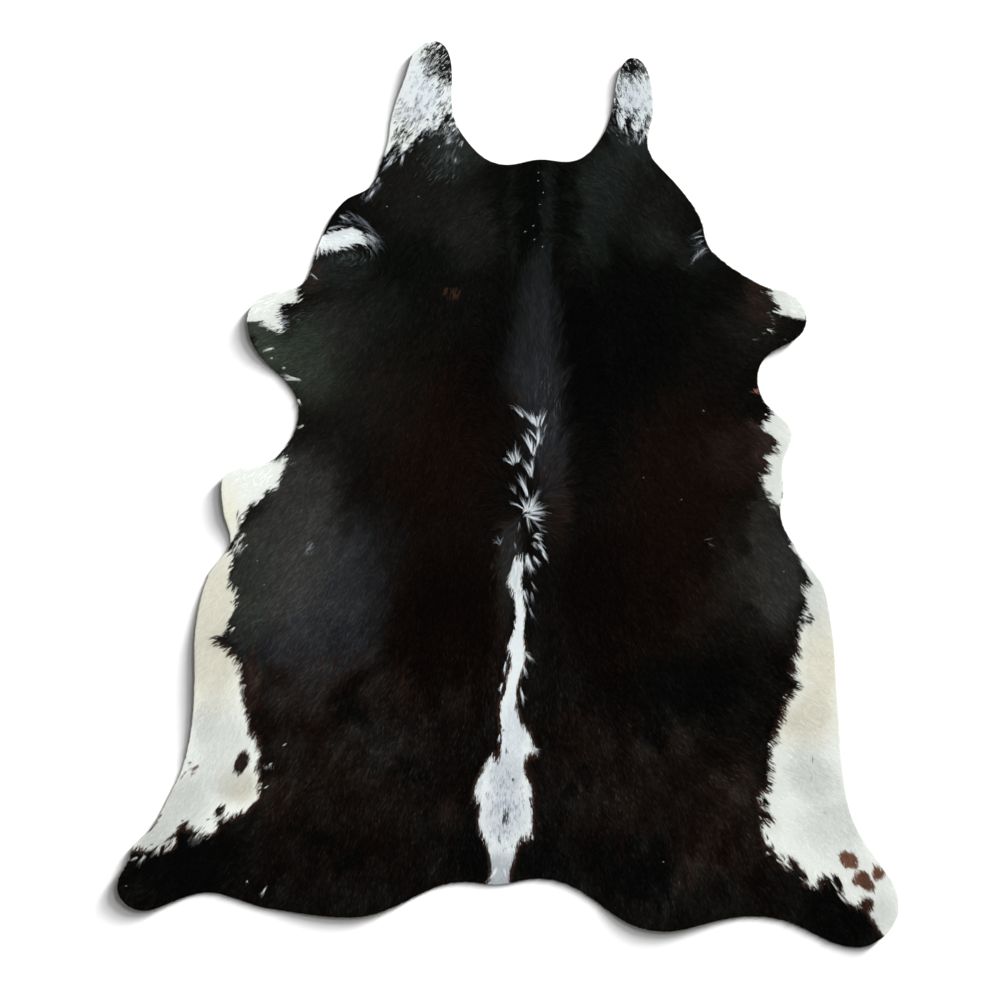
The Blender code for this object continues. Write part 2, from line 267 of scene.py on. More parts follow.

# The black coat's painted sheen: grey, blue and green lighter patches where the light catches the nap.
# Beside it lie the coat's brown and russet tints.
BLACK_TINTS_AND_PAINTED_SHEEN = table_of(Sheen, (
    # The forequarters are greener.
    (520, 225, 240, 170, MOSS, 13, 0.45),
    # Painted sheen of the left flank.
    (288, 565, 62, 90, PLAIN, 71, 1.0, 12), (250, 590, 26, 70, MOSS, 48, 0.9, 10),
    (350, 600, 52, 100, STEEL, 48, 0.8, 14), (300, 672, 80, 46, STEEL, 42, 0.8, -8),
    # Painted sheen of the left belly.
    (300, 475, 48, 46, PLAIN, 56, 0.9),
    # Painted sheen of the left shoulder, foreleg and armpit, and brown hair by the armpit.
    (305, 358, 48, 60, MOSS, 75, 0.9, 10), (266, 345, 22, 26, MOSS, 78, 0.9),
    (252, 328, 12, 9, MOSS, 72, 1.2), (365, 385, 60, 80, CREAM, 28, 0.7),
    (340, 266, 34, 26, TEAL, 46, 1.0), (320, 214, 20, 14, BROWN, 36, 0.9, -30),
    (312, 274, 16, 20, BROWN, 52, 0.9),
    # Painted sheen left of the neck.
    (455, 150, 34, 30, TEAL, 76, 0.9), (420, 190, 56, 52, CREAM, 33, 0.9),
    (468, 232, 34, 40, PLAIN, 42, 0.9),
    # Painted sheen right of the neck.
    (632, 150, 30, 24, TEAL, 58, 0.9), (602, 186, 32, 54, TEAL, 56, 0.9),
    (655, 210, 40, 52, CREAM, 30, 0.9), (650, 244, 20, 20, MOSS, 49, 0.9),
    # Painted sheen of the left shoulder, right armpit and foreleg, and the right foreleg's brown rim.
    (385, 305, 30, 28, MOSS, 27, 0.7), (706, 256, 22, 24, TEAL, 26, 0.9),
    (758, 298, 16, 32, RUSSET, 42, 1.1, -20), (672, 242, 9, 38, PLAIN, 40, 0.9, -38),
    # Painted sheen of the right shoulder.
    (755, 325, 40, 40, CREAM, 30, 0.8),
    # Painted sheen along the ridge and backbone, and a brown patch beside them.
    (538, 278, 15, 38, STEEL, 42, 1.3), (536, 322, 24, 42, STEEL, 46, 1.3),
    (535, 368, 33, 44, STEEL, 50, 1.3), (546, 440, 26, 60, STEEL, 48, 1.0, -8),
    (556, 505, 18, 50, BROWN, 32, 0.8), (505, 590, 12, 64, PLAIN, 40, 0.9, 4),
    (536, 640, 10, 60, PLAIN, 23, 0.7), (494, 700, 12, 50, PLAIN, 30, 0.7),
    # Painted sheen of the right flank and belly, with its browns.
    (780, 574, 30, 66, PLAIN, 61, 1.0, -4), (748, 575, 38, 64, CREAM, 39, 0.9),
    (735, 455, 36, 34, BROWN, 34, 0.9), (765, 445, 18, 30, BROWN, 56, 0.9),
    (762, 498, 13, 26, CREAM, 46, 1.1),
    # Left brown field.
    (440, 450, 70, 120, RUSSET, 11, 0.8), (450, 630, 60, 90, RUSSET, 3, 1.0),
    # Right brown field.
    (685, 470, 70, 90, RUSSET, 13, 0.9), (640, 590, 80, 90, RUSSET, 7, 0.8),
    (598, 600, 34, 60, BROWN, 3, 1.3), (700, 605, 26, 36, BROWN, 24, 0.8),
    # Haunches.
    (345, 745, 100, 80, BROWN, 21, 0.8), (340, 840, 100, 60, BROWN, 9, 0.8),
    (640, 780, 100, 90, BROWN, 17, 0.8), (735, 840, 60, 60, BROWN, 20, 0.8),
    # A brown rim by the white of the left flank.
    (254, 680, 10, 34, RUSSET, 34, 0.8),
    # Painted sheen behind the withers, on the left shoulder and by the whorl.
    (590, 252, 26, 26, MOSS, 50, 0.9), (346, 322, 30, 34, PLAIN, 42, 0.8),
    (509, 556, 15, 42, PLAIN, 46, 1.0),
    # Withers: painted shade along the fold of the backbone, and bands of painted sheen beside it.
    (528, 203, 14, 52, MOSS, 4, 1.4), (568, 208, 14, 52, MOSS, 6, 1.3),
    (500, 200, 9, 46, MOSS, 7, 0.9), (547, 205, 7, 52, TEAL, 30, 1.8),
    (513, 215, 5, 60, MOSS, 24, 1.4),
    # Painted light along creases in the skin, as thin pale lines, and a brown mark by them.
    (570, 196, 14, 2.6, CREAM, 34, 1.3, 8), (568, 237, 16, 2.6, CREAM, 28, 1.3),
    (580, 284, 22, 2.6, CREAM, 30, 1.3, 4), (567, 266, 5, 6, BROWN, 34, 1.0),
    # Behind the neck, left and right.
    (420, 262, 44, 26, MOSS, 9, 1.0), (690, 300, 40, 26, MOSS, 7, 1.0),
    # Black behind the right shoulder and beside the ridge.
    (622, 328, 58, 80, MOSS, 3, 1.6), (578, 330, 16, 70, PLAIN, 4, 1.3),
    (470, 380, 26, 48, BROWN, 5, 1.1), (600, 410, 36, 60, PLAIN, 5, 0.7),
    (498, 330, 14, 60, PLAIN, 7, 0.7),
    # Right loin.
    (692, 688, 56, 32, PLAIN, 2, 1.6), (620, 700, 32, 32, BROWN, 3, 1.5),
    # Legs.
    (182, 868, 60, 40, MOSS, 3, 1.1), (840, 915, 45, 32, MOSS, 4, 1.1, 30),
    # Rump.
    (480, 850, 30, 40, PLAIN, 4, 1.0), (545, 862, 28, 30, PLAIN, 5, 1.0),
    # Darker and browner blotches of the left haunch.
    (355, 683, 9, 34, BROWN, 4, 2.2, 54), (352, 713, 13, 20, PLAIN, 4, 2.0, -40),
    (272, 678, 20, 12, BROWN, 11, 1.2), (412, 770, 7, 22, PLAIN, 4, 2.0, -54),
    (321, 839, 8, 22, PLAIN, 3, 2.0, -64), (352, 862, 9, 15, PLAIN, 3, 1.8, 60),
    (440, 655, 34, 22, RUSSET, 9, 0.7), (290, 874, 34, 18, BROWN, 6, 1.2),
    (278, 800, 22, 24, BROWN, 29, 1.0), (404, 680, 16, 22, BROWN, 26, 1.0),
    (372, 742, 40, 26, PLAIN, 22, 0.9, 20), (450, 812, 18, 14, BROWN, 26, 0.8),
    (458, 702, 16, 22, BROWN, 25, 0.8),
    # And of the right.
    (653, 733, 10, 16, PLAIN, 3, 2.2, -14), (585, 775, 10, 12, BROWN, 3, 2.0, 30),
    (571, 795, 9, 11, PLAIN, 3, 2.0), (612, 790, 8, 5, BROWN, 5, 1.6),
    (582, 742, 26, 34, RUSSET, 9, 1.0), (632, 843, 8, 10, PLAIN, 4, 1.8),
    (659, 847, 9, 12, PLAIN, 4, 1.8), (600, 850, 18, 20, PLAIN, 5, 1.1),
    (642, 880, 36, 22, PLAIN, 3, 1.6), (716, 757, 8, 22, BROWN, 5, 1.8, -58),
    (724, 852, 10, 24, RUSSET, 6, 1.8, 34), (754, 880, 9, 18, BROWN, 5, 1.8, 40),
    (697, 860, 11, 48, BROWN, 29, 1.3, 30), (734, 782, 24, 34, BROWN, 31, 1.1),
    (678, 748, 18, 14, BROWN, 24, 0.7, -30), (628, 795, 26, 22, BROWN, 23, 0.7),
    (530, 800, 10, 46, BROWN, 24, 0.9),
    # Dark marks of the right flank.
    (751, 611, 6, 8, PLAIN, 8, 1.0), (740, 541, 8, 12, PLAIN, 12, 1.0, 20),
))

# Dark spots on the white.
SPOTS = table_of(Sheen, (
    # Flanks.
    (242, 762, 6.5, 12.0, BROWN, 29, 1.0, 22), (220, 811, 4.0, 6.5, BROWN, 26, 1.0, 25),
    (808.5, 618, 2.4, 5.4, PLAIN, 26, 1.0, 20),
    # Right hind leg.
    (764, 803, 3.6, 6.0, BROWN, 14, 1.0, -20), (848, 859, 10.0, 7.5, RUSSET, 84, 1.0, 28),
    (862, 876, 8.0, 6.0, RUSSET, 72, 1.0, 42), (866, 884, 9.0, 5.5, RUSSET, 70, 1.0, 32),
    (856, 880, 6.0, 4.5, RUSSET, 82, 1.0, 30), (877, 872, 6.5, 6.0, RUSSET, 78, 1.0, 30),
    (866, 904, 7.5, 7.5, RUSSET, 38, 1.0, 25), (837, 881, 3.2, 8.5, BROWN, 14, 1.0, -30),
    # Left foreleg.
    (291, 307, 7.0, 4.0, PLAIN, 16, 1.0),
    # Neck flaps.
    (447, 119, 3.0, 5.0, PLAIN, 22, 1.0, 20), (628, 121, 3.0, 4.0, PLAIN, 26, 1.0),
))

# Dark hairs among the white.
DARK_BLENDS = table_of(Sheen, (
    # Left neck flap.
    (434, 98, 36, 50, STEEL, 168, 0.26), (437, 62, 20, 28, PEARL, 80, 0.66),
    (446, 66, 14, 32, PLAIN, 28, 0.86, 6), (434, 52, 12, 16, PLAIN, 28, 0.42),
    (446, 110, 12, 16, PEARL, 90, 0.35), (452, 124, 10, 14, MOSS, 40, 0.50),
    (430, 118, 24, 9, TEAL, 50, 0.20), (410, 116, 28, 20, STEEL, 140, 0.38),
    (402, 136, 18, 12, TEAL, 40, 0.24, -30),
    # Right neck flap.
    (636, 100, 26, 42, STEEL, 145, 0.30), (633, 67, 25, 18, PEARL, 75, 0.85),
    (628, 64, 17, 13, PLAIN, 18, 0.90), (620, 88, 10, 18, STEEL, 80, 0.45, 6),
    (615, 110, 9, 14, TEAL, 34, 0.60), (630, 118, 20, 12, TEAL, 44, 0.28),
    (646, 122, 9, 14, TEAL, 50, 0.38),
    # Backbone.
    (505, 805, 22, 50, STEEL, 165, 0.25), (506, 816, 5, 10, STEEL, 80, 0.60),
))

# White and grey hairs among the black.
LIGHT_BLENDS = table_of(Sheen, (
    # Below the left neck flap.
    (451, 134, 10, 18, PEARL, 150, 0.50), (450, 158, 14, 10, PEARL, 90, 0.40),
    (372, 190, 6, 20, STEEL, 120, 0.40, 38), (440, 165, 30, 26, TEAL, 64, 0.14),
    (428, 130, 22, 7, PEARL, 150, 0.30), (402, 150, 20, 10, PEARL, 190, 0.24, -40),
    # Below the right.
    (632, 133, 20, 13, PEARL, 170, 0.22), (612, 122, 10, 14, TEAL, 80, 0.30),
    # Left armpit.
    (356, 222, 26, 9, STEEL, 80, 0.16, 24), (374, 246, 9, 12, STEEL, 80, 0.15, 10),
    (350, 258, 24, 9, TEAL, 66, 0.26),
    # Left foreleg.
    (286, 320, 6, 8, STEEL, 135, 0.60), (303, 317, 15, 9, TEAL, 70, 0.22),
    # Left belly lobe.
    (283, 462, 12, 9, STEEL, 120, 0.25),
    # Left hind leg.
    (195, 838, 8, 9, PLAIN, 80, 0.40, 20),
    # Right belly lobe.
    (775, 508, 6, 9, PLAIN, 110, 0.45, -20),
    # Backbone.
    (545, 420, 16, 60, STEEL, 62, 0.14),
    # Left flank.
    (238, 546, 8, 16, PLAIN, 190, 0.40, 20), (310, 548, 6, 7, STEEL, 110, 0.40),
    (268, 765, 9, 8, PLAIN, 120, 0.20),
    # A russet spot.
    (453, 293, 10, 8, RUSSET, 46, 0.60),
    # A tan spot at the rim.
    (757, 391, 6, 3, RUSSET, 100, 0.90),
))


TUFTS = (
    # The feathers of the backbone, from the ridge down to the stripe.
    *tufts(PEARL, 244, (
        (537, 449, 540, 421, 4, 4), (537, 448, 538, 424, 4, 4), (539, 432, 543, 406, 3, 2, -3),
        (541, 428, 547, 409, 2, 2, -1), (539, 426, 536, 411, 3, 3), (538, 430, 531, 410, 3, 3, 1),
        (537, 429, 526, 408, 4, 7, 1), (536, 428, 520, 406, 4, 4, 1), (524, 419, 513, 407, 4, 5, 2),
        (532, 457, 521, 430, 4, 4, 2), (532, 455, 525, 431, 4, 4, 2), (537, 442, 526, 428, 3, 3, 2),
        (532, 454, 531, 435, 5, 4), (533, 458, 537, 440, 5, 5), (514, 467, 501, 456, 4, 4, 1),
        (514, 466, 506, 450, 4, 4, 1), (515, 466, 510, 446, 4, 4, 1), (516, 465, 514, 443, 3, 3, 1),
        (517, 464, 519, 448, 4, 2), (518, 463, 521, 453, 3, 2), (531, 481, 520, 461, 3, 2, 5),
        (532, 478, 523, 458, 3, 2, 3), (531, 480, 533, 455, 4, 3), (533, 472, 530, 458, 2, 2, 1),
        (528, 499, 518, 471, 3, 7, 1), (527, 498, 517, 473, 3, 6, 1), (526, 513, 508, 502, 2, 3, 4),
        (526, 512, 521, 497, 4, 5, 1), (528, 513, 526, 500, 5, 5), (528, 514, 533, 492, 5, 4),
        (530, 513, 537, 496, 6, 5, -1), (529, 514, 541, 500, 5, 6, -1), (529, 513, 547, 506, 4, 5, -2),
        (528, 514, 549, 513, 4, 5, -1), (527, 515, 547, 520, 5, 5, 1), (526, 515, 540, 521, 5, 5),
        (522, 512, 535, 508, 6, 9), (523, 515, 534, 515, 5, 8), (527, 515, 530, 533, 3, 2),
        (532, 535, 544, 543, 6, 5, -1), (531, 541, 541, 552, 5, 3, -1), (536, 540, 548, 557, 6, 4, -1),
        (541, 550, 550, 563, 5, 5, 1), (534, 534, 545, 536, 3, 3, -1), (533, 555, 542, 567, 4, 5, 1),
        (526, 552, 533, 576, 5, 9), (526, 553, 528, 574, 5, 8), (516, 554, 508, 590, 5, 9, -1),
        (517, 555, 514, 597, 6, 9), (519, 558, 521, 582, 5, 8), (521, 584, 518, 603, 4, 6),
        (523, 588, 527, 606, 4, 5))),
    *tufts(STEEL, 145, (
        (516, 496, 508, 485, 2, 4, 2), (516, 495, 514, 483, 2, 3), (532, 505, 542, 486, 4, 7, -1),
        (530, 512, 550, 516, 3, 7, 1), (531, 518, 545, 531, 3, 8, 1), (540, 530, 550, 533, 2, 2),
        (541, 447, 546, 431, 3, 4, -1), (544, 436, 548, 420, 2, 3, -1), (500, 545, 491, 541, 2, 3, 1),
        (501, 545, 495, 535, 2, 3, 1), (500, 546, 504, 537, 2, 3, -1), (531, 580, 537, 593, 3, 4),
        (526, 588, 530, 601, 3, 3), (531, 590, 534, 604, 3, 3), (528, 604, 535, 621, 4, 4),
        (514, 540, 517, 552, 1, 1), (520, 520, 518, 534, 2, 3), (509, 652, 506, 664, 2, 3))),
    *tufts(PEARL, 228, (
        (524, 651, 534, 664, 4, 7), (523, 662, 527, 678, 4, 6), (506, 660, 503, 680, 2, 4),
        (503, 682, 499, 694, 4, 5), (520, 686, 525, 707, 4, 6), (509, 641, 507, 655, 3, 4),
        (528, 740, 539, 757, 8, 6), (533, 748, 541, 752, 3, 4), (492, 754, 483, 772, 5, 8, -1),
        (484, 770, 474, 797, 7, 8, -1), (481, 790, 477, 807, 6, 6), (480, 815, 481, 835, 4, 6),
        (528, 782, 534, 798, 5, 5), (531, 806, 533, 818, 4, 4), (529, 826, 532, 836, 5, 5),
        (500, 733, 498, 746, 3, 4), (498, 866, 488, 884, 6, 9), (504, 866, 507, 883, 6, 6),
        (488, 838, 492, 850, 4, 4), (514, 848, 511, 862, 4, 5))),
    *tufts(STEEL, 34, (
        (506, 814, 502, 829, 3, 3), (499, 832, 500, 848, 2, 1), (513, 777, 513, 784, 2, 2),
        (506, 747, 506, 756, 1, 2), (518, 687, 518, 698, 3, 3), (505, 684, 503, 698, 2, 3),
        (502, 731, 506, 728, 2, 2))),
    # Streaks below the neck flaps.
    *tufts(PEARL, 215, (
        (404, 153, 400, 166, 4, 4), (395, 156, 383, 171, 4, 4), (392, 161, 390, 167, 2, 2),
        (424, 138, 417, 145, 3, 3), (451, 140, 445, 146, 3, 2), (404, 146, 399, 156, 3, 3),
        (376, 189, 366, 200, 3, 4), (380, 176, 374, 186, 2, 2), (456, 157, 455, 165, 1, 2),
        (440, 145, 438, 150, 2, 2), (616, 112, 623, 139, 3, 5), (625, 124, 628, 137, 1, 2),
        (646, 127, 642, 145, 3, 4), (641, 136, 638, 150, 1, 2), (634, 130, 638, 142, 2, 3),
        (463, 140, 459, 150, 2, 4), (460, 128, 455, 138, 2, 4), (388, 150, 382, 160, 4, 5))),
    # The curls in the armpits.
    *tufts(PEARL, 200, (
        (362, 234, 380, 246, 6, 6, -4), (360, 238, 376, 252, 4, 5, -5), (338, 216, 350, 222, 3, 5, -1),
        (326, 231, 346, 227, 2, 3, -2), (330, 245, 326, 257, 3, 4, 1), (334, 246, 332, 256, 2, 3, 1),
        (307, 270, 313, 277, 1, 2, 1), (311, 272, 319, 280, 1, 2, 1), (322, 248, 318, 255, 2, 3),
        (706, 229, 694, 234, 1, 1, 2), (708, 237, 691, 240, 1, 2, 3), (710, 241, 694, 246, 1, 1, 3),
        (712, 249, 698, 256, 1, 2, 4), (706, 250, 694, 262, 1, 2, 4), (700, 254, 692, 266, 1, 1, 3))),
    *tufts(STEEL, 108, (
        (340, 217, 346, 227, 1, 1, -1), (343, 214, 354, 227, 1, 1, -1), (347, 213, 361, 228, 1, 1, -2),
        (350, 214, 367, 229, 1, 1, -2), (353, 214, 373, 231, 1, 1, -3), (356, 217, 377, 235, 1, 1, -3),
        (358, 221, 380, 239, 1, 1, -4), (360, 226, 382, 243, 1, 1, -4), (361, 230, 382, 248, 1, 1, -5),
        (362, 235, 380, 253, 1, 1, -5), (363, 240, 378, 258, 1, 1, -5), (366, 246, 374, 262, 1, 1, -4),
        (707, 232, 690, 240, 2, 4, 4), (709, 240, 692, 252, 3, 5, 5), (711, 251, 696, 262, 2, 4, 5))),
    # Flecks along the left side.
    *tufts(PLAIN, 225, (
        (275, 347.5, 262, 351.5, 5, 7), (239, 538, 236, 552, 1, 2), (273, 357, 269, 360, 2, 1),
        (286, 368.5, 279.5, 367, 2, 2), (303, 381, 279, 375, 2, 8), (298, 380, 280, 379, 3, 5),
        (297.5, 398, 300.5, 406, 4, 4), (305, 424, 296, 429, 3, 4), (289, 457, 281, 467, 2, 4),
        (245, 532, 240, 541, 2, 3), (241, 544, 234, 557, 3, 3), (238, 545, 231, 553, 3, 3),
        (273, 763, 266, 768, 1, 1, 1), (269, 785, 262, 790, 1, 1), (287, 743, 281, 747, 1, 1),
        (268, 884, 258, 901, 1, 3), (248, 880, 246, 883, 1, 1), (176, 835, 171, 853, 4, 2),
        (139, 856, 127, 863, 3, 3), (147, 853, 139, 865, 2, 3), (152, 844, 144, 853, 2, 2),
        (162, 842, 152, 858, 3, 4), (161, 846, 156, 858, 2, 3), (170, 845, 163, 855, 2, 3),
        (200, 831, 193, 842, 2, 3), (236, 626, 228, 634, 2, 4))),
    *tufts(PEARL, 110, (
        (768, 315, 776, 319, 1, 3, -1), (770, 319, 777, 321, 2, 3), (771, 323, 777, 325, 1, 2),
        (760, 290, 765, 294, 1, 2, 1), (767, 333.5, 760, 333, 1, 2), (766, 313, 772, 313, 1, 2))),
    *tufts(STEEL, 130, (
        (314, 542, 307, 549, 1, 2), (312, 546, 305, 553, 1, 2), (282, 458, 276, 466, 2, 2))),
    *tufts(PLAIN, 90, (
        (292, 389, 296, 389, 1, 2), (751, 339, 760, 339, 1, 2, 1), (783, 339.5, 789, 339.5, 1, 2),
        (199, 834, 190, 846, 1, 3), (204, 836, 196, 846, 1, 2))),
    # Flecks along the right side.
    *tufts(PLAIN, 220, (
        (766, 328.5, 775, 332.5, 2, 4), (758, 815, 764, 823, 2, 1), (829, 878, 841, 895, 1, 2),
        (836, 892, 848, 905, 3, 5), (766, 851, 771, 857, 1, 3), (775, 857, 783, 866, 2, 3),
        (791, 544, 799, 556, 2, 3), (760, 795, 764, 806, 2, 2), (874, 914, 880, 926, 1, 2))),
    # Black spikes and slits on the white.
    *tufts(PLAIN, 30, (
        (230, 638, 211, 634, 6, 2, -2), (226, 640, 214, 641, 4, 2), (239, 508, 236, 520, 1, 2),
        (241, 514, 238, 530, 2, 2), (790, 680, 805, 685, 5, 2), (788, 676, 799, 680, 3, 3),
        (292, 458, 281, 466, 3, 2), (776, 503, 782, 514, 5, 3), (822, 872, 833, 890, 4, 4),
        (790, 862, 798, 874, 4, 4), (792, 323, 784, 312, 9, 6), (280, 316, 294, 322, 3, 3, 1))),
    *tufts(BROWN, 27, (
        (815, 893, 807, 881, 4, 3), (823, 891, 814, 879, 4, 3), (832, 893, 820, 873, 7, 5),
        (831, 890, 825, 874, 5, 3), (843, 903, 835, 892, 4, 3), (852, 912, 845, 901, 4, 3),
        (860, 916, 850, 903, 5, 4), (869, 918, 857, 903, 6, 4), (879, 929, 871, 915, 3, 2),
        (801, 877, 792, 859, 6, 4), (808, 882, 799, 864, 5, 3), (793, 867, 786, 853, 5, 3),
        (785, 862, 779, 850, 5, 3), (775, 852, 769, 839, 5, 3), (769, 842, 765, 829, 4, 2),
        (230, 826, 235, 813, 3, 3), (236, 824, 241, 811, 4, 3), (244, 820, 250, 807, 5, 4),
        (250, 815, 255, 802, 4, 3), (222, 828, 226, 816, 4, 3), (214, 838, 218, 826, 4, 3),
        (206, 839, 210, 828, 4, 3), (197, 839, 202, 828, 4, 3), (189, 837, 195, 824, 5, 3),
        (182, 835, 187, 820, 6, 4), (177, 841, 179, 827, 5, 3), (169, 849, 172, 835, 5, 4),
        (160, 855, 164, 842, 4, 3), (150, 859, 155, 847, 4, 3), (140, 857, 144, 845, 6, 4),
        (133, 857, 138, 846, 5, 3))),
    # Brown and dark specks.
    *tufts(BROWN, 34, (
        (163, 813, 155, 822, 3, 4), (159, 820, 154, 825, 2, 3), (156, 823, 146, 834, 4, 5),
        (154, 827, 147, 833, 3, 3), (172, 835, 162, 845, 3, 4), (154, 843, 149, 846, 1, 2),
        (184, 819, 180, 823, 2, 3), (232, 600, 230, 605, 2, 2), (871, 917, 875, 924, 2, 2),
        (397, 121, 392, 125, 2, 2), (406, 127, 396, 140, 3, 5), (405, 126, 399, 136, 3, 3),
        (413, 121, 410, 127, 2, 2), (405, 120, 403, 124, 3, 3), (428, 118, 427, 124, 3, 3),
        (436, 115, 434, 120, 2, 2), (445, 114, 442, 119, 3, 3), (452, 113, 450, 119, 3, 3),
        (408, 130, 406, 136, 1, 1), (419, 130, 416, 134, 2, 2), (434, 44, 431, 49, 3, 3),
        (617, 98, 616, 104, 2, 3))),
    *tufts(BROWN, 104, (
        (211, 818, 205, 820, 2, 2), (192, 761, 187, 765, 3, 4), (200, 764, 190, 773, 5, 8),
        (187, 771, 182, 775, 2, 2), (195, 772, 189, 776, 2, 2), (184, 775, 179, 780, 3, 3))),
    # Lint.
    *tufts(PEARL, 170, (
        (538, 172, 538.6, 173.4, 1, 1), (538, 180, 538.4, 181.4, 1, 1), (543, 192, 543.6, 193.2, 1, 1),
        (539.4, 204, 540, 205.6, 1.4, 1), (533, 225, 533.6, 226.4, 1, 1),
        (525, 231, 525.4, 232.4, 1, 1), (534, 239, 534.6, 240.2, 1, 1), (542, 246, 542.6, 247.2, 1, 1),
        (387, 206, 386.4, 207.4, 1.4, 1), (418, 196, 418.6, 197.4, 1, 1),
        (257, 560, 257.6, 561.4, 1, 1), (264, 584, 264.6, 585.4, 1, 1), (704, 410, 703, 411.6, 1.4, 1),
        (783, 571, 783.6, 572.4, 1, 1), (126, 885, 126.6, 886.4, 1, 1), (663, 861, 663.6, 862.4, 1, 1),
        (643, 477, 643.6, 478.2, 1, 1), (681, 499, 681.6, 500.2, 1, 1))),
    *tufts(BROWN, 90, (
        (703, 540, 713, 538, 1, 2), (707, 542, 716, 548, 1, 2))),
    # Painted shade in creases of the skin, as thin grey lines through the short hair of the right hind leg.
    *tufts(PLAIN, 168, (
        (812, 755, 813, 766, 1, 1), (812, 774, 810, 784, 1, 1), (822, 812, 827, 814, 1, 1))),
)

# The way the nap runs where it leaves its usual course, out and back from the backbone.
GUIDES = table_of(Guide, (
    # Withers.
    (490, 195, -155, 24), (580, 200, -25, 24),
    # Neck and its flaps.
    (425, 170, -128, 40), (650, 175, -52, 40), (430, 90, -124, 30), (440, 58, -134, 18),
    (632, 95, -66, 34), (395, 150, -128, 24),
    # Armpits.
    (350, 222, -22, 14), (340, 236, -8, 13), (350, 270, -166, 13), (377, 250, -70, 10),
    (702, 246, -10, 18),
    # Forelegs.
    (275, 310, -160, 34), (785, 312, -20, 34),
    # Ridge, and the hair that fans out from it.
    (534, 268, 90, 17), (535, 310, 90, 19), (535, 350, 90, 21), (536, 390, 90, 21),
    (536, 430, 92, 20), (524, 470, 108, 18), (507, 320, 128, 14), (565, 320, 52, 14),
    (502, 380, 134, 16), (570, 380, 46, 16), (498, 440, 150, 16), (570, 450, 35, 18),
    # Whorl.
    (503, 512, 182, 13), (552, 512, 0, 13), (528, 540, -88, 12), (505, 560, -120, 14),
    (545, 565, -62, 14),
    # Stripe of the backbone.
    (520, 610, -92, 22), (512, 690, -95, 24), (490, 790, -112, 20), (520, 790, -66, 20),
    (500, 860, -90, 24),
    # Left flank.
    (255, 480, -138, 30), (225, 590, -128, 34), (224, 636, 172, 9), (215, 720, -116, 40),
    (170, 835, -126, 40), (138, 858, -146, 16),
    # Right flank.
    (780, 450, -32, 30), (810, 600, -52, 34), (799, 684, -6, 9), (805, 730, -40, 40),
    (850, 885, -58, 50),
    # Rump.
    (350, 890, -104, 46), (660, 905, -78, 46),
))

# The noises of the coat.
HAIRS = Grain(0.030, 0.005, 1.0)
TEETH = Grain(0.022, 0.008, 2.0)     # of the borders
BLOTCHES = Grain(0.045, 0.055, 3.0)
WAVES = Grain(0.050, 0.016, 4.0)
MIXTURE = Grain(0.011, 0.003, 5.0)   # where hairs of two colours are mixed
WANDER = Grain(0.028, 0.028, 8.0)    # of the clumps' headings

# The pieces of the coat, each with its limits across and along the hide, in metres.
HAIR_AREAS = {
    "coat_neck": (-2.0, 2.0, 0.50, 2.0),
    "coat_shoulders_left": (-2.0, 0.04, 0.10, 0.50),
    "coat_shoulders_right": (0.04, 2.0, 0.10, 0.50),
    "coat_belly_left": (-2.0, 0.03, -0.36, 0.10),
    "coat_belly_right": (0.03, 2.0, -0.36, 0.10),
    "coat_haunch_left": (-2.0, 0.02, -2.0, -0.36),
    "coat_haunch_right": (0.02, 2.0, -2.0, -0.36),
}

RUG_LAMP = Lamp("rug_lamp", 3.6, 62.0, 60.0, 30.0)
FLOOR_LAMPS = (
    Lamp("floor_lamp_low", 7.0, 10.0, 45.0, 7.0),
    Lamp("floor_lamp_middle", 3.9, 17.0, 45.0, 10.0),
    Lamp("floor_lamp_high", 1.25, 36.0, 45.0, 30.0),
)


def on_hide(chart: Sequence) -> np.ndarray:
    """Turns places on the chart into metres on the hide.

    Args:
        chart: places across and down the chart, in squares.

    Returns:
        The same places as metres across and along the hide.
    """
    spots = np.asarray(chart, float).reshape(-1, 2)
    return (spots - CHART_MIDDLE) * (SQUARE, -SQUARE)


def on_chart(spots: np.ndarray) -> np.ndarray:
    """Turns metres on the hide into squares across and down the chart."""
    return spots[:, :2] / (SQUARE, -SQUARE) + CHART_MIDDLE


def pointing(heading: np.ndarray) -> np.ndarray:
    """Turns headings into steps of length 1."""
    return np.stack([np.cos(heading), np.sin(heading)], 1)


def leftwards(steps: np.ndarray) -> np.ndarray:
    """Turns steps on the hide a quarter round, to the left."""
    return steps[:, ::-1] * (-1, 1)


def chart_steps(heading: np.ndarray) -> tuple[np.ndarray, np.ndarray]:
    """Gives steps of one square on the chart, along the nap and to its left."""
    ahead = pointing(heading)
    return ahead * (1, -1), leftwards(ahead) * (1, -1)


def unit(rows: np.ndarray) -> np.ndarray:
    """Scales each row to length 1."""
    return rows / np.maximum(np.linalg.norm(rows, axis=1, keepdims=True), TINY)


def ramp(values: np.ndarray, start: float, end: float) -> np.ndarray:
    """Goes evenly from 0 at the start to 1 at the end, and stays level beyond them."""
    return np.clip((values - start) / (end - start), 0, 1)


def redrawn(luck: np.ndarray, factor: float) -> np.ndarray:
    """Makes another number from 0 to 1 out of each hair's own."""
    return luck * factor % 1.0


def square_lattice(low: np.ndarray, step: float, counts: np.ndarray) -> np.ndarray:
    """Gives the points of a square lattice, one column after the other."""
    i, j = np.meshgrid(np.arange(counts[0]), np.arange(counts[1]), indexing="ij")
    return low + step * np.stack([i, j], -1).reshape(-1, 2)


def between(knots: np.ndarray, cell: np.ndarray, share: np.ndarray) -> np.ndarray:
    """Mixes the four knots of a table round each place, in both directions.

    Args:
        knots: the table, which repeats past its ends.
        cell: the column and row of the knot before each place.
        share: how far each place lies towards the next column and row, from 0 to 1.

    Returns:
        One number for each place.
    """
    (left, low), (right, high) = (cell % knots.shape).T, ((cell + 1) % knots.shape).T
    x, y = share.T
    below = knots[left, low] * (1 - x) + knots[right, low] * x
    above = knots[left, high] * (1 - x) + knots[right, high] * x
    return below * (1 - y) + above * y


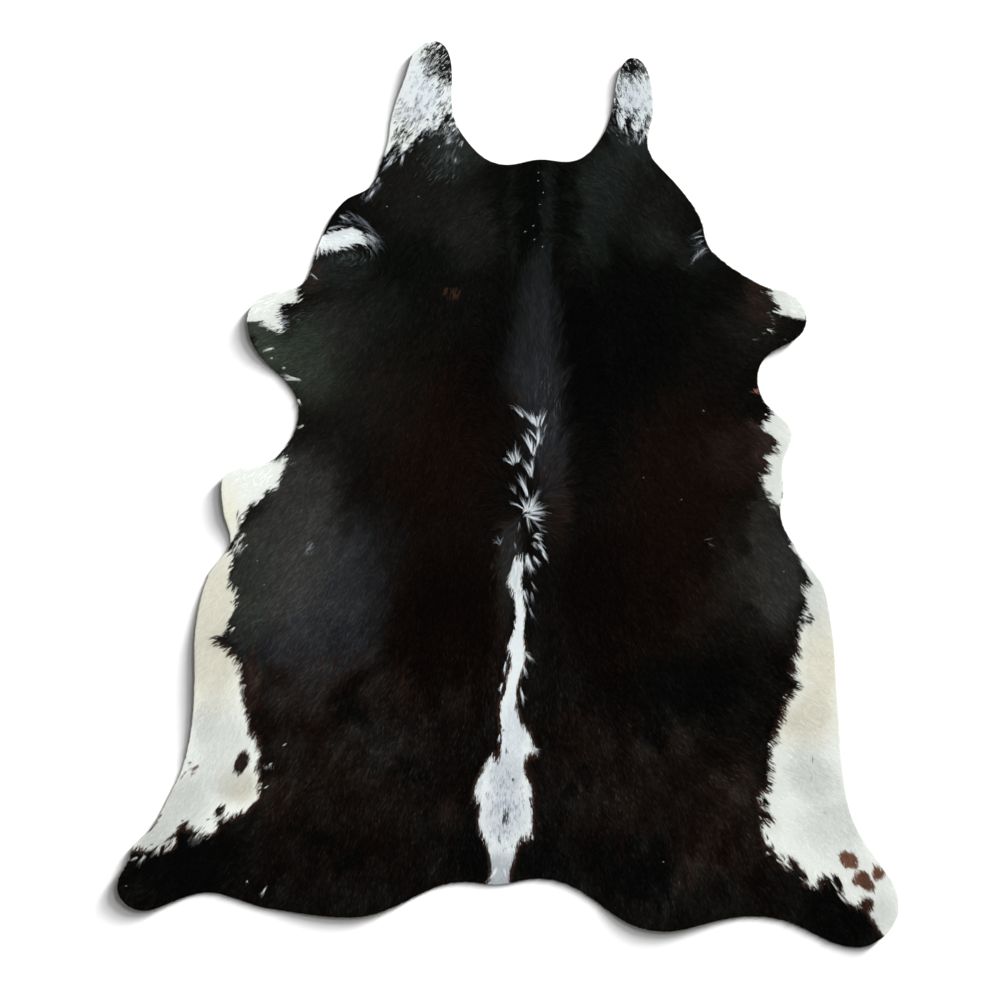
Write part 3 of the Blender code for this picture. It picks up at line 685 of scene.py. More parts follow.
def open_sides(faces: np.ndarray) -> np.ndarray:
    """Finds the sides that only one of the triangles has, each from its start to its end.

    Args:
        faces: three point numbers for each triangle.

    Returns:
        The point numbers of the start and the end of each such side.
    """
    sides = np.concatenate([faces[:, [0, 1]], faces[:, [1, 2]], faces[:, [2, 0]]]).astype(np.int64)
    count = sides.max() + 1
    key, back = sides[:, 0] * count + sides[:, 1], sides[:, 1] * count + sides[:, 0]
    return sides[~np.isin(key, back)]


def linear(level: Union[float, np.ndarray]) -> np.ndarray:
    """Turns a screen level, 0 to 255, into linear light by the usual sRGB curve."""
    share = np.asarray(level, float) / 255.0
    return np.where(share <= 0.04045, share / 12.92, ((share + 0.055) / 1.055) ** 2.4)


@dataclass(frozen=True)
class DyeCard:
    """The card that every coat colour is read from: hue across it, lightness up it.

    The light at height v is darkest * span ** v, so equal steps up the card look alike.
    """

    darkest: float = 0.0009
    span: float = 1050.0

    def height(self, level: Union[float, np.ndarray]) -> np.ndarray:
        """Gives the height on the card of a screen level."""
        light = np.maximum(linear(level), self.darkest)
        return np.log(light / self.darkest) / math.log(self.span)


CARD = DyeCard()


@dataclass
class Weather:
    """Seeded smooth noise, worked out for whole arrays of places."""

    seed: int
    side: int = 256
    table: np.ndarray = field(init=False)

    def __post_init__(self) -> None:
        """Draws the table of knots that all the noise is read from."""
        self.table = np.random.default_rng(self.seed).random((self.side, self.side))

    def patches(self, spots: np.ndarray, grain: Grain) -> np.ndarray:
        """Gives noise from 0 to 1 with blobs of the given size.

        The places are scaled by the grain. Between four knots of the table the value is
        mixed with the smooth weight t * t * (3 - 2 * t) in both directions.

        Args:
            spots: places in metres.
            grain: the size of the blobs, across and along the hide.

        Returns:
            One number for each place.
        """
        scaled = spots[:, :2] / np.asarray(grain[:2]) + 1000.0 + grain.shift * 17.31
        cell = np.floor(scaled).astype(int)
        part = scaled - cell
        return between(self.table, cell, part * part * (3.0 - 2.0 * part))

    def streaks(self, spots: np.ndarray, heading: np.ndarray, grain: Grain) -> np.ndarray:
        """Gives noise that is drawn out along the nap.

        The noise is worked out for twelve fixed directions, 15 degrees apart, and each
        place mixes the two nearest to its own heading.

        Args:
            spots: places in metres.
            heading: the nap's direction at each place, in radians.
            grain: the size of the streaks, along the nap and across it.

        Returns:
            One number from 0 to 1 for each place.
        """
        steps = 12
        turn = (heading / math.pi * steps) % steps
        total = np.zeros(len(spots))
        for step in range(steps):
            apart = np.abs((turn - step + steps / 2) % steps - steps / 2)
            near = np.nonzero(apart < 1.0)[0]
            if len(near) == 0:
                continue
            angle = step * math.pi / steps
            way = np.array([[math.cos(angle), -math.sin(angle)], [math.sin(angle), math.cos(angle)]])
            own = grain._replace(shift=grain.shift + step * 3.7)
            total[near] += self.patches(spots[near, :2] @ way, own) * (1.0 - apart[near])
        return total


def ranked(values: np.ndarray) -> np.ndarray:
    """Spreads numbers evenly from 0 to 1, in the same order.

    Args:
        values: the numbers.

    Returns:
        Each number's rank, as a share of them all.
    """
    order = np.empty(len(values))
    order[np.argsort(values, kind="stable")] = np.arange(len(values)) / max(len(values), 1)
    return order


def oval_reach(places: np.ndarray, oval: Sheen) -> np.ndarray:
    """Gives how far out each place on the chart lies in an oval, 0 at its middle and 1 at its rim.

    Args:
        places: places on the chart.
        oval: the oval's row.

    Returns:
        One number for each place, above 1 outside the oval.
    """
    angle = math.radians(oval.turned)
    away = places - (oval.across, oval.down)
    sideways = away[:, 0] * math.cos(angle) + away[:, 1] * math.sin(angle)
    lengthwise = away[:, 1] * math.cos(angle) - away[:, 0] * math.sin(angle)
    return np.sqrt((sideways / oval.reach_across) ** 2 + (lengthwise / oval.reach_down) ** 2)


def inside_patch(places: np.ndarray, corners: np.ndarray) -> np.ndarray:
    """Tells which places lie in a closed patch, by counting the sides to their right.

    Args:
        places: places on the chart.
        corners: the patch's corners in order.

    Returns:
        True or False for each place.
    """
    low, high = corners.min(0), corners.max(0)
    near = np.nonzero(((places > low) & (places < high)).all(1))[0]
    result = np.zeros(len(places), bool)
    if len(near) == 0:
        return result
    x, y = places[near, 0][:, None], places[near, 1][:, None]
    start, end = corners, np.roll(corners, -1, axis=0)
    crosses = (start[:, 1] > y) != (end[:, 1] > y)
    rise = np.where(end[:, 1] == start[:, 1], 1.0, end[:, 1] - start[:, 1])
    meets = start[:, 0] + (y - start[:, 1]) * (end[:, 0] - start[:, 0]) / rise
    result[near] = (crosses & (x < meets)).sum(1) % 2 == 1
    return result


@dataclass
class CutEdge:
    """The cut edge of the hide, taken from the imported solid, and the depth inside it."""

    step: float = 0.005                       # between two points of the map of depths
    margin: float = 0.04                      # how far the map goes past the edge
    start: np.ndarray = field(init=False)     # of each straight side
    end: np.ndarray = field(init=False)
    low: np.ndarray = field(init=False)       # the edge's box
    high: np.ndarray = field(init=False)
    depths: np.ndarray = field(init=False)    # the map, by column and row

    def __post_init__(self) -> None:
        """Reads the edge and works out the map of depths."""
        self.start, self.end = self.rim_of(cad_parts["hide"])
        points = np.concatenate([self.start, self.end])
        self.low, self.high = points.min(0), points.max(0)
        corner = self.low - self.margin
        counts = np.ceil((self.high + self.margin - corner) / self.step).astype(int) + 1
        spots = square_lattice(corner, self.step, counts)
        distance = self.nearest(spots)[0].reshape(counts)
        grid = spots.reshape(*counts, 2)
        within = self.within(grid[:, 0, 0], grid[0, :, 1])
        self.depths = np.where(within, distance, -distance)

    @staticmethod
    def rim_of(node: bpy.types.Object) -> tuple[np.ndarray, np.ndarray]:
        """Finds the underside's rim: the sides that only one of its faces has.

        Args:
            node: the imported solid, whose mesh is loose triangles.

        Returns:
            The start and the end of each side, in metres.
        """
        mesh = node.data
        points = np.empty(len(mesh.vertices) * 3, np.float32)
        mesh.vertices.foreach_get("co", points)
        corners = np.empty(len(mesh.loops), np.int32)
        mesh.loops.foreach_get("vertex_index", corners)
        points = points.reshape(-1, 3).astype(float)
        _, first, same = np.unique(
            np.round(points, 6), axis=0, return_index=True, return_inverse=True)
        merged = points[first]
        faces = same.ravel()[corners].reshape(-1, 3)
        one, two, three = (merged[faces[:, i]] for i in range(3))
        looks_down = unit(np.cross(two - one, three - one))[:, 2] < -0.9
        rim = open_sides(faces[looks_down])
        return merged[rim[:, 0], :2], merged[rim[:, 1], :2]

    def nearest(self, spots: np.ndarray, batch: int = 6000) -> tuple[np.ndarray, np.ndarray]:
        """Finds the nearest point of the edge to each place.

        On each straight side the nearest point is start + t * (end - start), where t is
        the place's share along the side, kept from 0 to 1.

        Args:
            spots: places in metres.
            batch: how many places are worked out at once.

        Returns:
            The distances and the nearest points.
        """
        run = (self.end - self.start).astype(np.float32)
        start = self.start.astype(np.float32)
        length = np.maximum((run**2).sum(1), TINY)
        far, best = np.empty(len(spots)), np.empty((len(spots), 2))
        for low in range(0, len(spots), batch):
            some = spots[low:low + batch].astype(np.float32)
            dx = some[:, 0, None] - start[:, 0]
            dy = some[:, 1, None] - start[:, 1]
            share = np.clip((dx * run[:, 0] + dy * run[:, 1]) / length, 0, 1)
            gap = (dx - share * run[:, 0]) ** 2 + (dy - share * run[:, 1]) ** 2
            side = gap.argmin(1)
            row = np.arange(len(some))
            far[low:low + batch] = np.sqrt(gap[row, side])
            best[low:low + batch] = start[side] + share[row, side][:, None] * run[side]
        return far, best

    def within(self, across: np.ndarray, along: np.ndarray) -> np.ndarray:
        """Tells which points of a grid lie inside the edge.

        Each side flips all the points to the right of where it crosses a row, so an odd
        count of flips is inside.

        Args:
            across: the grid's columns, in metres.
            along: the grid's rows, in metres.

        Returns:
            True or False for each point, by column and row.
        """
        y = along[:, None]
        crosses = (self.start[:, 1] > y) != (self.end[:, 1] > y)
        row, side = np.nonzero(crosses)
        run = self.end[side] - self.start[side]
        meets = self.start[side, 0] + (along[row] - self.start[side, 1]) * run[:, 0] / run[:, 1]
        column = np.ceil((meets - across[0]) / (across[1] - across[0])).astype(int)
        flips = np.zeros((len(across) + 1, len(along)), int)
        np.add.at(flips, (np.clip(column, 0, len(across)), row), 1)
        return np.cumsum(flips, axis=0)[:-1] % 2 == 1

    def depth(self, spots: np.ndarray) -> np.ndarray:
        """Gives how deep inside the edge each place lies, below 0 outside, read between grid points.

        Args:
            spots: places in metres.

        Returns:
            The depth at each place, in metres.
        """
        scaled = (spots[:, :2] - (self.low - self.margin)) / self.step
        scaled = np.clip(scaled, 0, np.array(self.depths.shape) - 1.001)
        cell = scaled.astype(int)
        return between(self.depths, cell, scaled - cell)

    def inward(self, spots: np.ndarray, reach: float = 0.003) -> np.ndarray:
        """Gives the direction that leads inwards, as the slope of the depth.

        Args:
            spots: places in metres.
            reach: how far to either side the depth is read, in metres.

        Returns:
            A step of length 1 for each place.
        """
        east = self.depth(spots + (reach, 0)) - self.depth(spots - (reach, 0))
        north = self.depth(spots + (0, reach)) - self.depth(spots - (0, reach))
        return unit(np.stack([east, north], 1))


def lift(spots: np.ndarray) -> np.ndarray:
    """Gives the hide's height off the floor: the sum of oval bells, rise * (1 - r * r) squared.

    Args:
        spots: places in metres.

    Returns:
        The height at each place, in metres.
    """
    total = np.zeros(len(spots))
    for swell in SWELLS:
        angle = math.radians(swell.turned)
        east = spots[:, 0] / MM - swell.across
        north = spots[:, 1] / MM - swell.along
        lengthwise = (east * math.cos(angle) + north * math.sin(angle)) / swell.long_reach
        sideways = (north * math.cos(angle) - east * math.sin(angle)) / swell.short_reach
        total += swell.rise * MM * np.maximum(0.0, 1.0 - lengthwise**2 - sideways**2) ** 2
    return total


@dataclass
class Nap:
    """The direction and the length of the hair, all over the hide."""

    spine_top: float = 535.0      # squares across the chart, where the backbone lies at the neck
    spine_foot: float = 503.0     # and at the tail
    spine_rows: tuple[float, float] = (160.0, 880.0)  # squares down it, from neck to tail
    spread: float = 0.0040        # how fast the nap turns outwards, for each square
    most_outwards: float = 1.05
    own_weight: float = 0.10      # of the usual course, beside the guides
    body_length: float = 0.016
    flap_length: float = 0.009
    ridge_length: float = 0.026
    ridge_middle: float = 534.0   # squares across the chart
    ridge_reach: float = 34.0

    def heading(self, spots: np.ndarray) -> np.ndarray:
        """Gives the nap's heading: back and outwards from the backbone, bent by the guides.

        Each guide pulls with a bell weight, exp(-d * d / (2 * reach * reach)), and the
        usual course keeps a small weight of its own.

        Args:
            spots: places in metres.

        Returns:
            The heading at each place, in radians.
        """
        places = on_chart(spots)
        share = ramp(places[:, 1], *self.spine_rows)
        spine = self.spine_top + (self.spine_foot - self.spine_top) * share
        outwards = (places[:, 0] - spine) * self.spread
        outwards = np.clip(outwards, -self.most_outwards, self.most_outwards)
        total = unit(np.stack([outwards, -np.ones(len(places))], 1)) * self.own_weight
        for guide in GUIDES:
            far = ((places - (guide.across, guide.down)) ** 2).sum(1)
            pull = np.exp(-far / (2.0 * guide.reach**2))
            angle = math.radians(guide.heading)
            total += pull[:, None] * (math.cos(angle), math.sin(angle))
        return np.arctan2(total[:, 1], total[:, 0])

    def length(self, spots: np.ndarray) -> np.ndarray:
        """Gives the hair's length: short on the neck flaps and long on the ridge of the back.

        Args:
            spots: places in metres.

        Returns:
            The length at each place, in metres.
        """
        across, down = on_chart(spots).T
        flap = ramp(down, FLAP_FOOT, FLAP_FOOT - 40.0)
        ridge = np.exp(-((across - self.ridge_middle) / self.ridge_reach) ** 2) * (
            ramp(down, 240.0, 270.0) * ramp(down, 600.0, 540.0))
        length = self.body_length + (self.flap_length - self.body_length) * flap
        return length + (self.ridge_length - length) * ridge


@dataclass
class CoatColours:
    """The colours of the coat, worked out at any place from the tables of marks."""

    noise: Weather = field(default_factory=lambda: Weather(21))
    base_hue: float = 0.26
    base_level: float = 10.0
    drift: float = 24.0          # squares, how far the black's tints and painted sheen run along the nap
    rim_hue: float = 0.10        # of black tips that lie on white
    rim_level: float = 32.0
    white_level: float = 250.0
    teeth: float = 6.0           # squares, how far a border's teeth reach along the nap
    scatter: float = 9.0         # squares, how far a clump strays along it
    sidestep: float = 1.6        # squares, and across it
    border: tuple[float, float] = (9.0, 5.0)  # squares, its reach along the nap and across it
    tips: tuple[float, float] = (5.0, 3.5)    # squares, how far black tips lie over white
    tips_from: float = 640.0     # squares down the chart, where they begin

    @staticmethod
    def sheens(places: np.ndarray, table: Sequence[Sheen], hue: float, level: float,
               own: float, luck: Optional[np.ndarray] = None) -> tuple[np.ndarray, np.ndarray]:
        """Mixes a table of soft ovals over a ground colour.

        Each oval weighs strength * (1 - r * r / 1.9) squared, and the ground weighs what
        the ovals leave, and at least its own small share.

        Args:
            places: places on the chart.
            table: the ovals.
            hue: the ground's place across the dye card.
            level: the ground's screen level.
            own: the least weight of the ground.
            luck: a number from 0 to 1 for each hair. With it, each hair takes the tint of
                one oval, drawn by weight, so that hairs of several tints lie side by side.

        Returns:
            The hue and the height on the dye card at each place.
        """
        weight, hues, heights = np.zeros((3, len(places)))
        drawn = np.full(len(places), hue)
        for number, oval in enumerate(table):
            pull = oval.strength * np.maximum(0.0, 1.0 - oval_reach(places, oval) ** 2 / 1.9) ** 2
            weight += pull
            if luck is not None:
                chosen = redrawn(luck, 331.7 + 13.1 * number) * weight < pull
                drawn = np.where(chosen, oval.hue.place, drawn)
            hues += pull * oval.hue.place
            heights += pull * CARD.height(oval.level)
        ground = np.maximum(own, 1.0 - weight)
        total = weight + ground
        tint = (hues + ground * hue) / total
        if luck is not None:
            tint = np.where(redrawn(luck, 197.3) < ground / total, hue, drawn)
        return tint, (heights + ground * CARD.height(level)) / total

    @staticmethod
    def is_white(places: np.ndarray) -> np.ndarray:
        """Tells which places on the chart lie in a white patch.

        Args:
            places: places on the chart.

        Returns:
            True or False for each place.
        """
        white = np.zeros(len(places), bool)
        for corners in WHITE_PATCHES.values():
            white |= inside_patch(places, np.asarray(corners, float))
        return white

    def white_around(self, places: np.ndarray, heading: np.ndarray,
                     reach: tuple[float, float]) -> np.ndarray:
        """Tells which neighbours of each place are white: ahead, behind, left and right."""
        ways = [way * far for way, far in zip(chart_steps(heading), reach)]
        return np.array([self.is_white(places + way * turn) for way in ways for turn in (1, -1)])

    def borders(self, spots: np.ndarray, heading: np.ndarray) -> np.ndarray:
        """Tells which places lie near a change of colour, or where colours are mixed.

        Args:
            spots: places in metres.
            heading: the nap's heading there, in radians.

        Returns:
            True or False for each place.
        """
        places = on_chart(spots)
        near = (self.white_around(places, heading, self.border) != self.is_white(places)).any(0)
        for oval in SPOTS:
            near |= oval_reach(places, oval) < 2.0
        for oval in DARK_BLENDS + LIGHT_BLENDS:
            if oval.strength > 0.28:
                near |= oval_reach(places, oval) < 1.0
        return near

    def at(self, spots: np.ndarray, heading: np.ndarray, luck: np.ndarray) -> tuple[np.ndarray, np.ndarray]:
        """Gives the coat's colour at each place.

        Args:
            spots: places in metres.
            heading: the nap's heading there, in radians.
            luck: a number from 0 to 1 for each hair, by which hairs side by side differ.

        Returns:
            The hue and the height on the dye card at each place.
        """
        places = on_chart(spots)
        fine = self.noise.streaks(spots, heading, HAIRS) - 0.5
        clump = self.noise.streaks(spots, heading, TEETH) - 0.5
        broad = self.noise.streaks(spots, heading, WAVES) - 0.5
        blotch = self.noise.patches(spots, BLOTCHES) - 0.5
        way, side = chart_steps(heading)
        strays = way * (clump * self.teeth + (luck - 0.5) * self.scatter)[:, None]
        strays += side * ((redrawn(luck, 57.3) - 0.5) * self.sidestep)[:, None]
        drift = way * (broad * self.drift)[:, None] + side * (fine * self.drift * 0.35)[:, None]
        # The black ground with its painted sheen and brown tints, more uneven on the haunches than in
        # front.
        hue, height = self.sheens(places + drift, BLACK_TINTS_AND_PAINTED_SHEEN, self.base_hue, self.base_level, 0.2, luck)
        rear = np.maximum(ramp(places[:, 1], *LOIN), 0.2)
        height += (blotch * 0.14 + broad * 0.16) * rear + fine * 0.06
        hue += (blotch * 0.12 + broad * 0.10) * rear
        # The white, and the brown tips of the black hair that lies over it.
        ivory, light = self.sheens(places, WHITE_SHEENS, PLAIN.place, self.white_level, 0.1)
        light += fine * 0.014 + broad * 0.008
        white = self.is_white(places + strays)
        tips = self.white_around(places, heading, self.tips).any(0)
        tips &= ~white & (places[:, 1] > self.tips_from)
        hue = np.where(tips, self.rim_hue, hue)
        height = np.where(tips, np.maximum(height, CARD.height(self.rim_level)), height)
        hue, height = np.where(white, ivory, hue), np.where(white, light, height)
        # Single hairs of the other colour, then the spots.
        chance = ranked(self.noise.streaks(spots, heading, MIXTURE) * 0.8 + redrawn(luck, 97.31) * 0.5)
        for table, only in ((DARK_BLENDS, white), (LIGHT_BLENDS, ~white)):
            for oval in table:
                share = oval.strength * np.clip(1.7 * (1.0 - oval_reach(places, oval)), 0, 1)
                mixed = (chance < share) & only
                hue = np.where(mixed, oval.hue.place, hue)
                height = np.where(mixed, CARD.height(oval.level) + (luck - 0.5) * 0.10, height)
        for oval in SPOTS:
            covered = oval_reach(places + strays * 0.6, oval) < 1.0
            hue = np.where(covered, oval.hue.place + fine * 0.1, hue)
            height = np.where(covered, CARD.height(oval.level) + fine * 0.08, height)
        return hue, height


class Wire:
    """A shader value that can stand in a Python expression."""

    def __init__(self, book: "NodeBook", socket: bpy.types.NodeSocket) -> None:
        """Keeps the socket and the book that its nodes are added to."""
        self.book = book
        self.socket = socket

    def _math(self, operation: str, first: "Term", second: "Term") -> "Wire":
        """Adds one Math node."""
        node = self.book.node("ShaderNodeMath", {"operation": operation}, {0: first, 1: second})
        return Wire(self.book, node.outputs[0])

    def __add__(self, other: "Term") -> "Wire":
        """Adds."""
        return self._math("ADD", self, other)

    def __radd__(self, other: "Term") -> "Wire":
        """Adds, from the right."""
        return self._math("ADD", other, self)

    def __sub__(self, other: "Term") -> "Wire":
        """Takes away."""
        return self._math("SUBTRACT", self, other)

    def __rsub__(self, other: "Term") -> "Wire":
        """Takes this away."""
        return self._math("SUBTRACT", other, self)

    def __mul__(self, other: "Term") -> "Wire":
        """Multiplies."""
        return self._math("MULTIPLY", self, other)

    def __rmul__(self, other: "Term") -> "Wire":
        """Multiplies, from the right."""
        return self._math("MULTIPLY", other, self)

    def __rpow__(self, other: "Term") -> "Wire":
        """Raises a number to this power."""
        return self._math("POWER", other, self)


Term = Union[Wire, float]


class NodeBook:
    """One material's nodes."""

    def __init__(self, name: str) -> None:
        """Opens a new material with a bare Principled shader.

        Args:
            name: the material's name.
        """
        self.material = bpy.data.materials.new(name)
        self.material.use_nodes = True
        self.tree = self.material.node_tree
        self.shader = self.tree.nodes["Principled BSDF"]

    def node(self, kind: str, settings: Optional[dict] = None,
             inputs: Optional[dict] = None) -> bpy.types.Node:
        """Adds a node, sets it up and fills its sockets.

        Args:
            kind: the node's type.
            settings: the node's own settings; "stops" holds a ramp's (place, colour) pairs.
            inputs: values, links or wires by socket name or number.

        Returns:
            The new node.
        """
        made = self.tree.nodes.new(kind)
        for key, value in (settings or {}).items():
            if key == "stops":
                self.set_stops(made.color_ramp, value)
            else:
                setattr(made, key, value)
        for key, value in (inputs or {}).items():
            self.feed(made.inputs[key], value)
        return made

    @staticmethod
    def set_stops(ramp: bpy.types.ColorRamp, stops: Sequence[tuple[float, Sequence[float]]]) -> None:
        """Gives a ramp its stops.

        Args:
            ramp: the node's ramp.
            stops: a place from 0 to 1 and a colour for each stop.
        """
        while len(ramp.elements) < len(stops):
            ramp.elements.new(1.0)
        for element, (place, colour) in zip(ramp.elements, stops):
            element.position = place
            element.color = (*colour, 1.0)

    def feed(self, socket: bpy.types.NodeSocket, value: object) -> None:
        """Links a wire or a socket, or sets a plain value.

        Args:
            socket: the socket to feed.
            value: a wire, a socket or a plain value.
        """
        if isinstance(value, Wire):
            self.tree.links.new(value.socket, socket)
        elif isinstance(value, bpy.types.NodeSocket):
            self.tree.links.new(value, socket)
        else:
            socket.default_value = value

    def wire(self, node: bpy.types.Node, output: Union[str, int] = 0) -> Wire:
        """Wraps a node's output."""
        return Wire(self, node.outputs[output])


@dataclass(frozen=True)
class CoatFinish:
    """The hair's finish: the dye card's colour, with a soft natural gloss."""

    roughness: float = 0.46
    gloss: float = 0.008
    bump_height: float = 0.0006

    def card_colour(self, book: NodeBook, hue: Wire, height: Wire) -> bpy.types.NodeSocket:
        """Reads the dye card: the tint at hue, times darkest * span ** height.

        Args:
            book: the material's nodes.
            hue: the place across the card.
            height: the place up it.

        Returns:
            The socket that gives the colour.
        """
        half = 0.5  # of each tint, so that the ramp's colours stay below 1
        stops = [(one.place, [channel * half for channel in one.value[1]]) for one in Hue]
        tint = book.node("ShaderNodeValToRGB", {"stops": stops}, {0: hue})
        light = (CARD.span**height) * (CARD.darkest / half)
        scaled = book.node("ShaderNodeVectorMath", {"operation": "SCALE"},
                           {0: tint.outputs[0], "Scale": light})
        return scaled.outputs[0]

    def gloss_of(self, book: NodeBook) -> None:
        """Sets the gloss that is the same all over."""
        book.shader.inputs["Specular IOR Level"].default_value = self.gloss
        book.shader.inputs["Roughness"].default_value = self.roughness

    def locks(self) -> bpy.types.Material:
        """Makes the locks' material, which reads the dye card through their own map.

        Returns:
            The material.
        """
        book = NodeBook("coat_hair")
        place = book.node("ShaderNodeUVMap", {"uv_map": LOCK_MAP})
        parts = book.node("ShaderNodeSeparateXYZ", None, {0: place.outputs[0]})
        colour = self.card_colour(book, book.wire(parts, 0), book.wire(parts, 1))
        book.feed(book.shader.inputs["Base Color"], colour)
        self.gloss_of(book)
        return book.material

    def undercoat(self) -> bpy.types.Material:
        """Makes the undercoat's material: the same card, with the fine grain of packed hair.

        Returns:
            The material.
        """
        book = NodeBook("coat_under")
        hue = book.wire(book.node("ShaderNodeAttribute", {"attribute_name": "hue"}), "Fac")
        height = book.wire(book.node("ShaderNodeAttribute", {"attribute_name": "height"}), "Fac")
        place = book.node("ShaderNodeTexCoord").outputs["Object"]
        grain = book.node("ShaderNodeTexNoise", None, {"Vector": place, "Scale": 420.0, "Detail": 3.0})
        fine = book.wire(grain, "Fac")
        colour = self.card_colour(book, hue, height + (fine - 0.5) * 0.10)
        book.feed(book.shader.inputs["Base Color"], colour)
        bump = book.node("ShaderNodeBump", None,
                         {"Height": fine, "Distance": self.bump_height, "Strength": 0.7})
        book.feed(book.shader.inputs["Normal"], bump.outputs[0])
        self.gloss_of(book)
        return book.material


@dataclass(frozen=True)
class SuedeFinish:
    """The flesh side and the cut edge: pale suede with a fibrous, cloudy surface."""

    light: tuple[float, float, float] = (0.62, 0.55, 0.45)
    dark: tuple[float, float, float] = (0.44, 0.37, 0.29)
    roughness: float = 0.86

    def material(self) -> bpy.types.Material:
        """Makes the suede: broad clouds and short fibres mix the two colours and lift the nap.

        Returns:
            The material.
        """
        book = NodeBook("suede")
        place = book.node("ShaderNodeTexCoord").outputs["Object"]
        clouds = book.wire(book.node("ShaderNodeTexNoise", None, {
            "Vector": place, "Scale": 9.0, "Detail": 5.0, "Roughness": 0.6}), "Fac")
        fibres = book.wire(book.node("ShaderNodeTexNoise", None, {
            "Vector": place, "Scale": 520.0, "Detail": 4.0, "Roughness": 0.65, "Distortion": 0.8}), "Fac")
        tone = book.node("ShaderNodeMix", {"data_type": "RGBA", "clamp_factor": True}, {
            0: clouds * 1.3 + fibres * 0.7 - 0.5, 6: (*self.dark, 1.0), 7: (*self.light, 1.0)})
        book.feed(book.shader.inputs["Base Color"], tone.outputs[2])
        book.feed(book.shader.inputs["Roughness"], fibres * 0.12 + (self.roughness - 0.06))
        bump = book.node("ShaderNodeBump", None, {"Height": fibres, "Distance": 0.0005, "Strength": 0.8})
        book.feed(book.shader.inputs["Normal"], bump.outputs[0])
        book.shader.inputs["Specular IOR Level"].default_value = 0.2
        return book.material


def fill_mesh(name: str, points: np.ndarray, triangles: np.ndarray) -> bpy.types.Object:
    """Puts whole arrays of points and triangles into a new smooth object.

    Args:
        name: the piece's name.
        points: the points, in metres.
        triangles: three point numbers for each face.

    Returns:
        The new object, at the origin.
    """
    mesh = bpy.data.meshes.new(name)
    mesh.vertices.add(len(points))
    mesh.vertices.foreach_set("co", points.astype(np.float32).ravel())
    mesh.loops.add(triangles.size)
    mesh.loops.foreach_set("vertex_index", triangles.astype(np.int32).ravel())
    mesh.polygons.add(len(triangles))
    mesh.polygons.foreach_set("loop_start", np.arange(0, triangles.size, 3, dtype=np.int32))
    mesh.update(calc_edges=True)
    mesh.shade_smooth()
    thing = bpy.data.objects.new(name, mesh)
    bpy.context.scene.collection.objects.link(thing)
    return thing


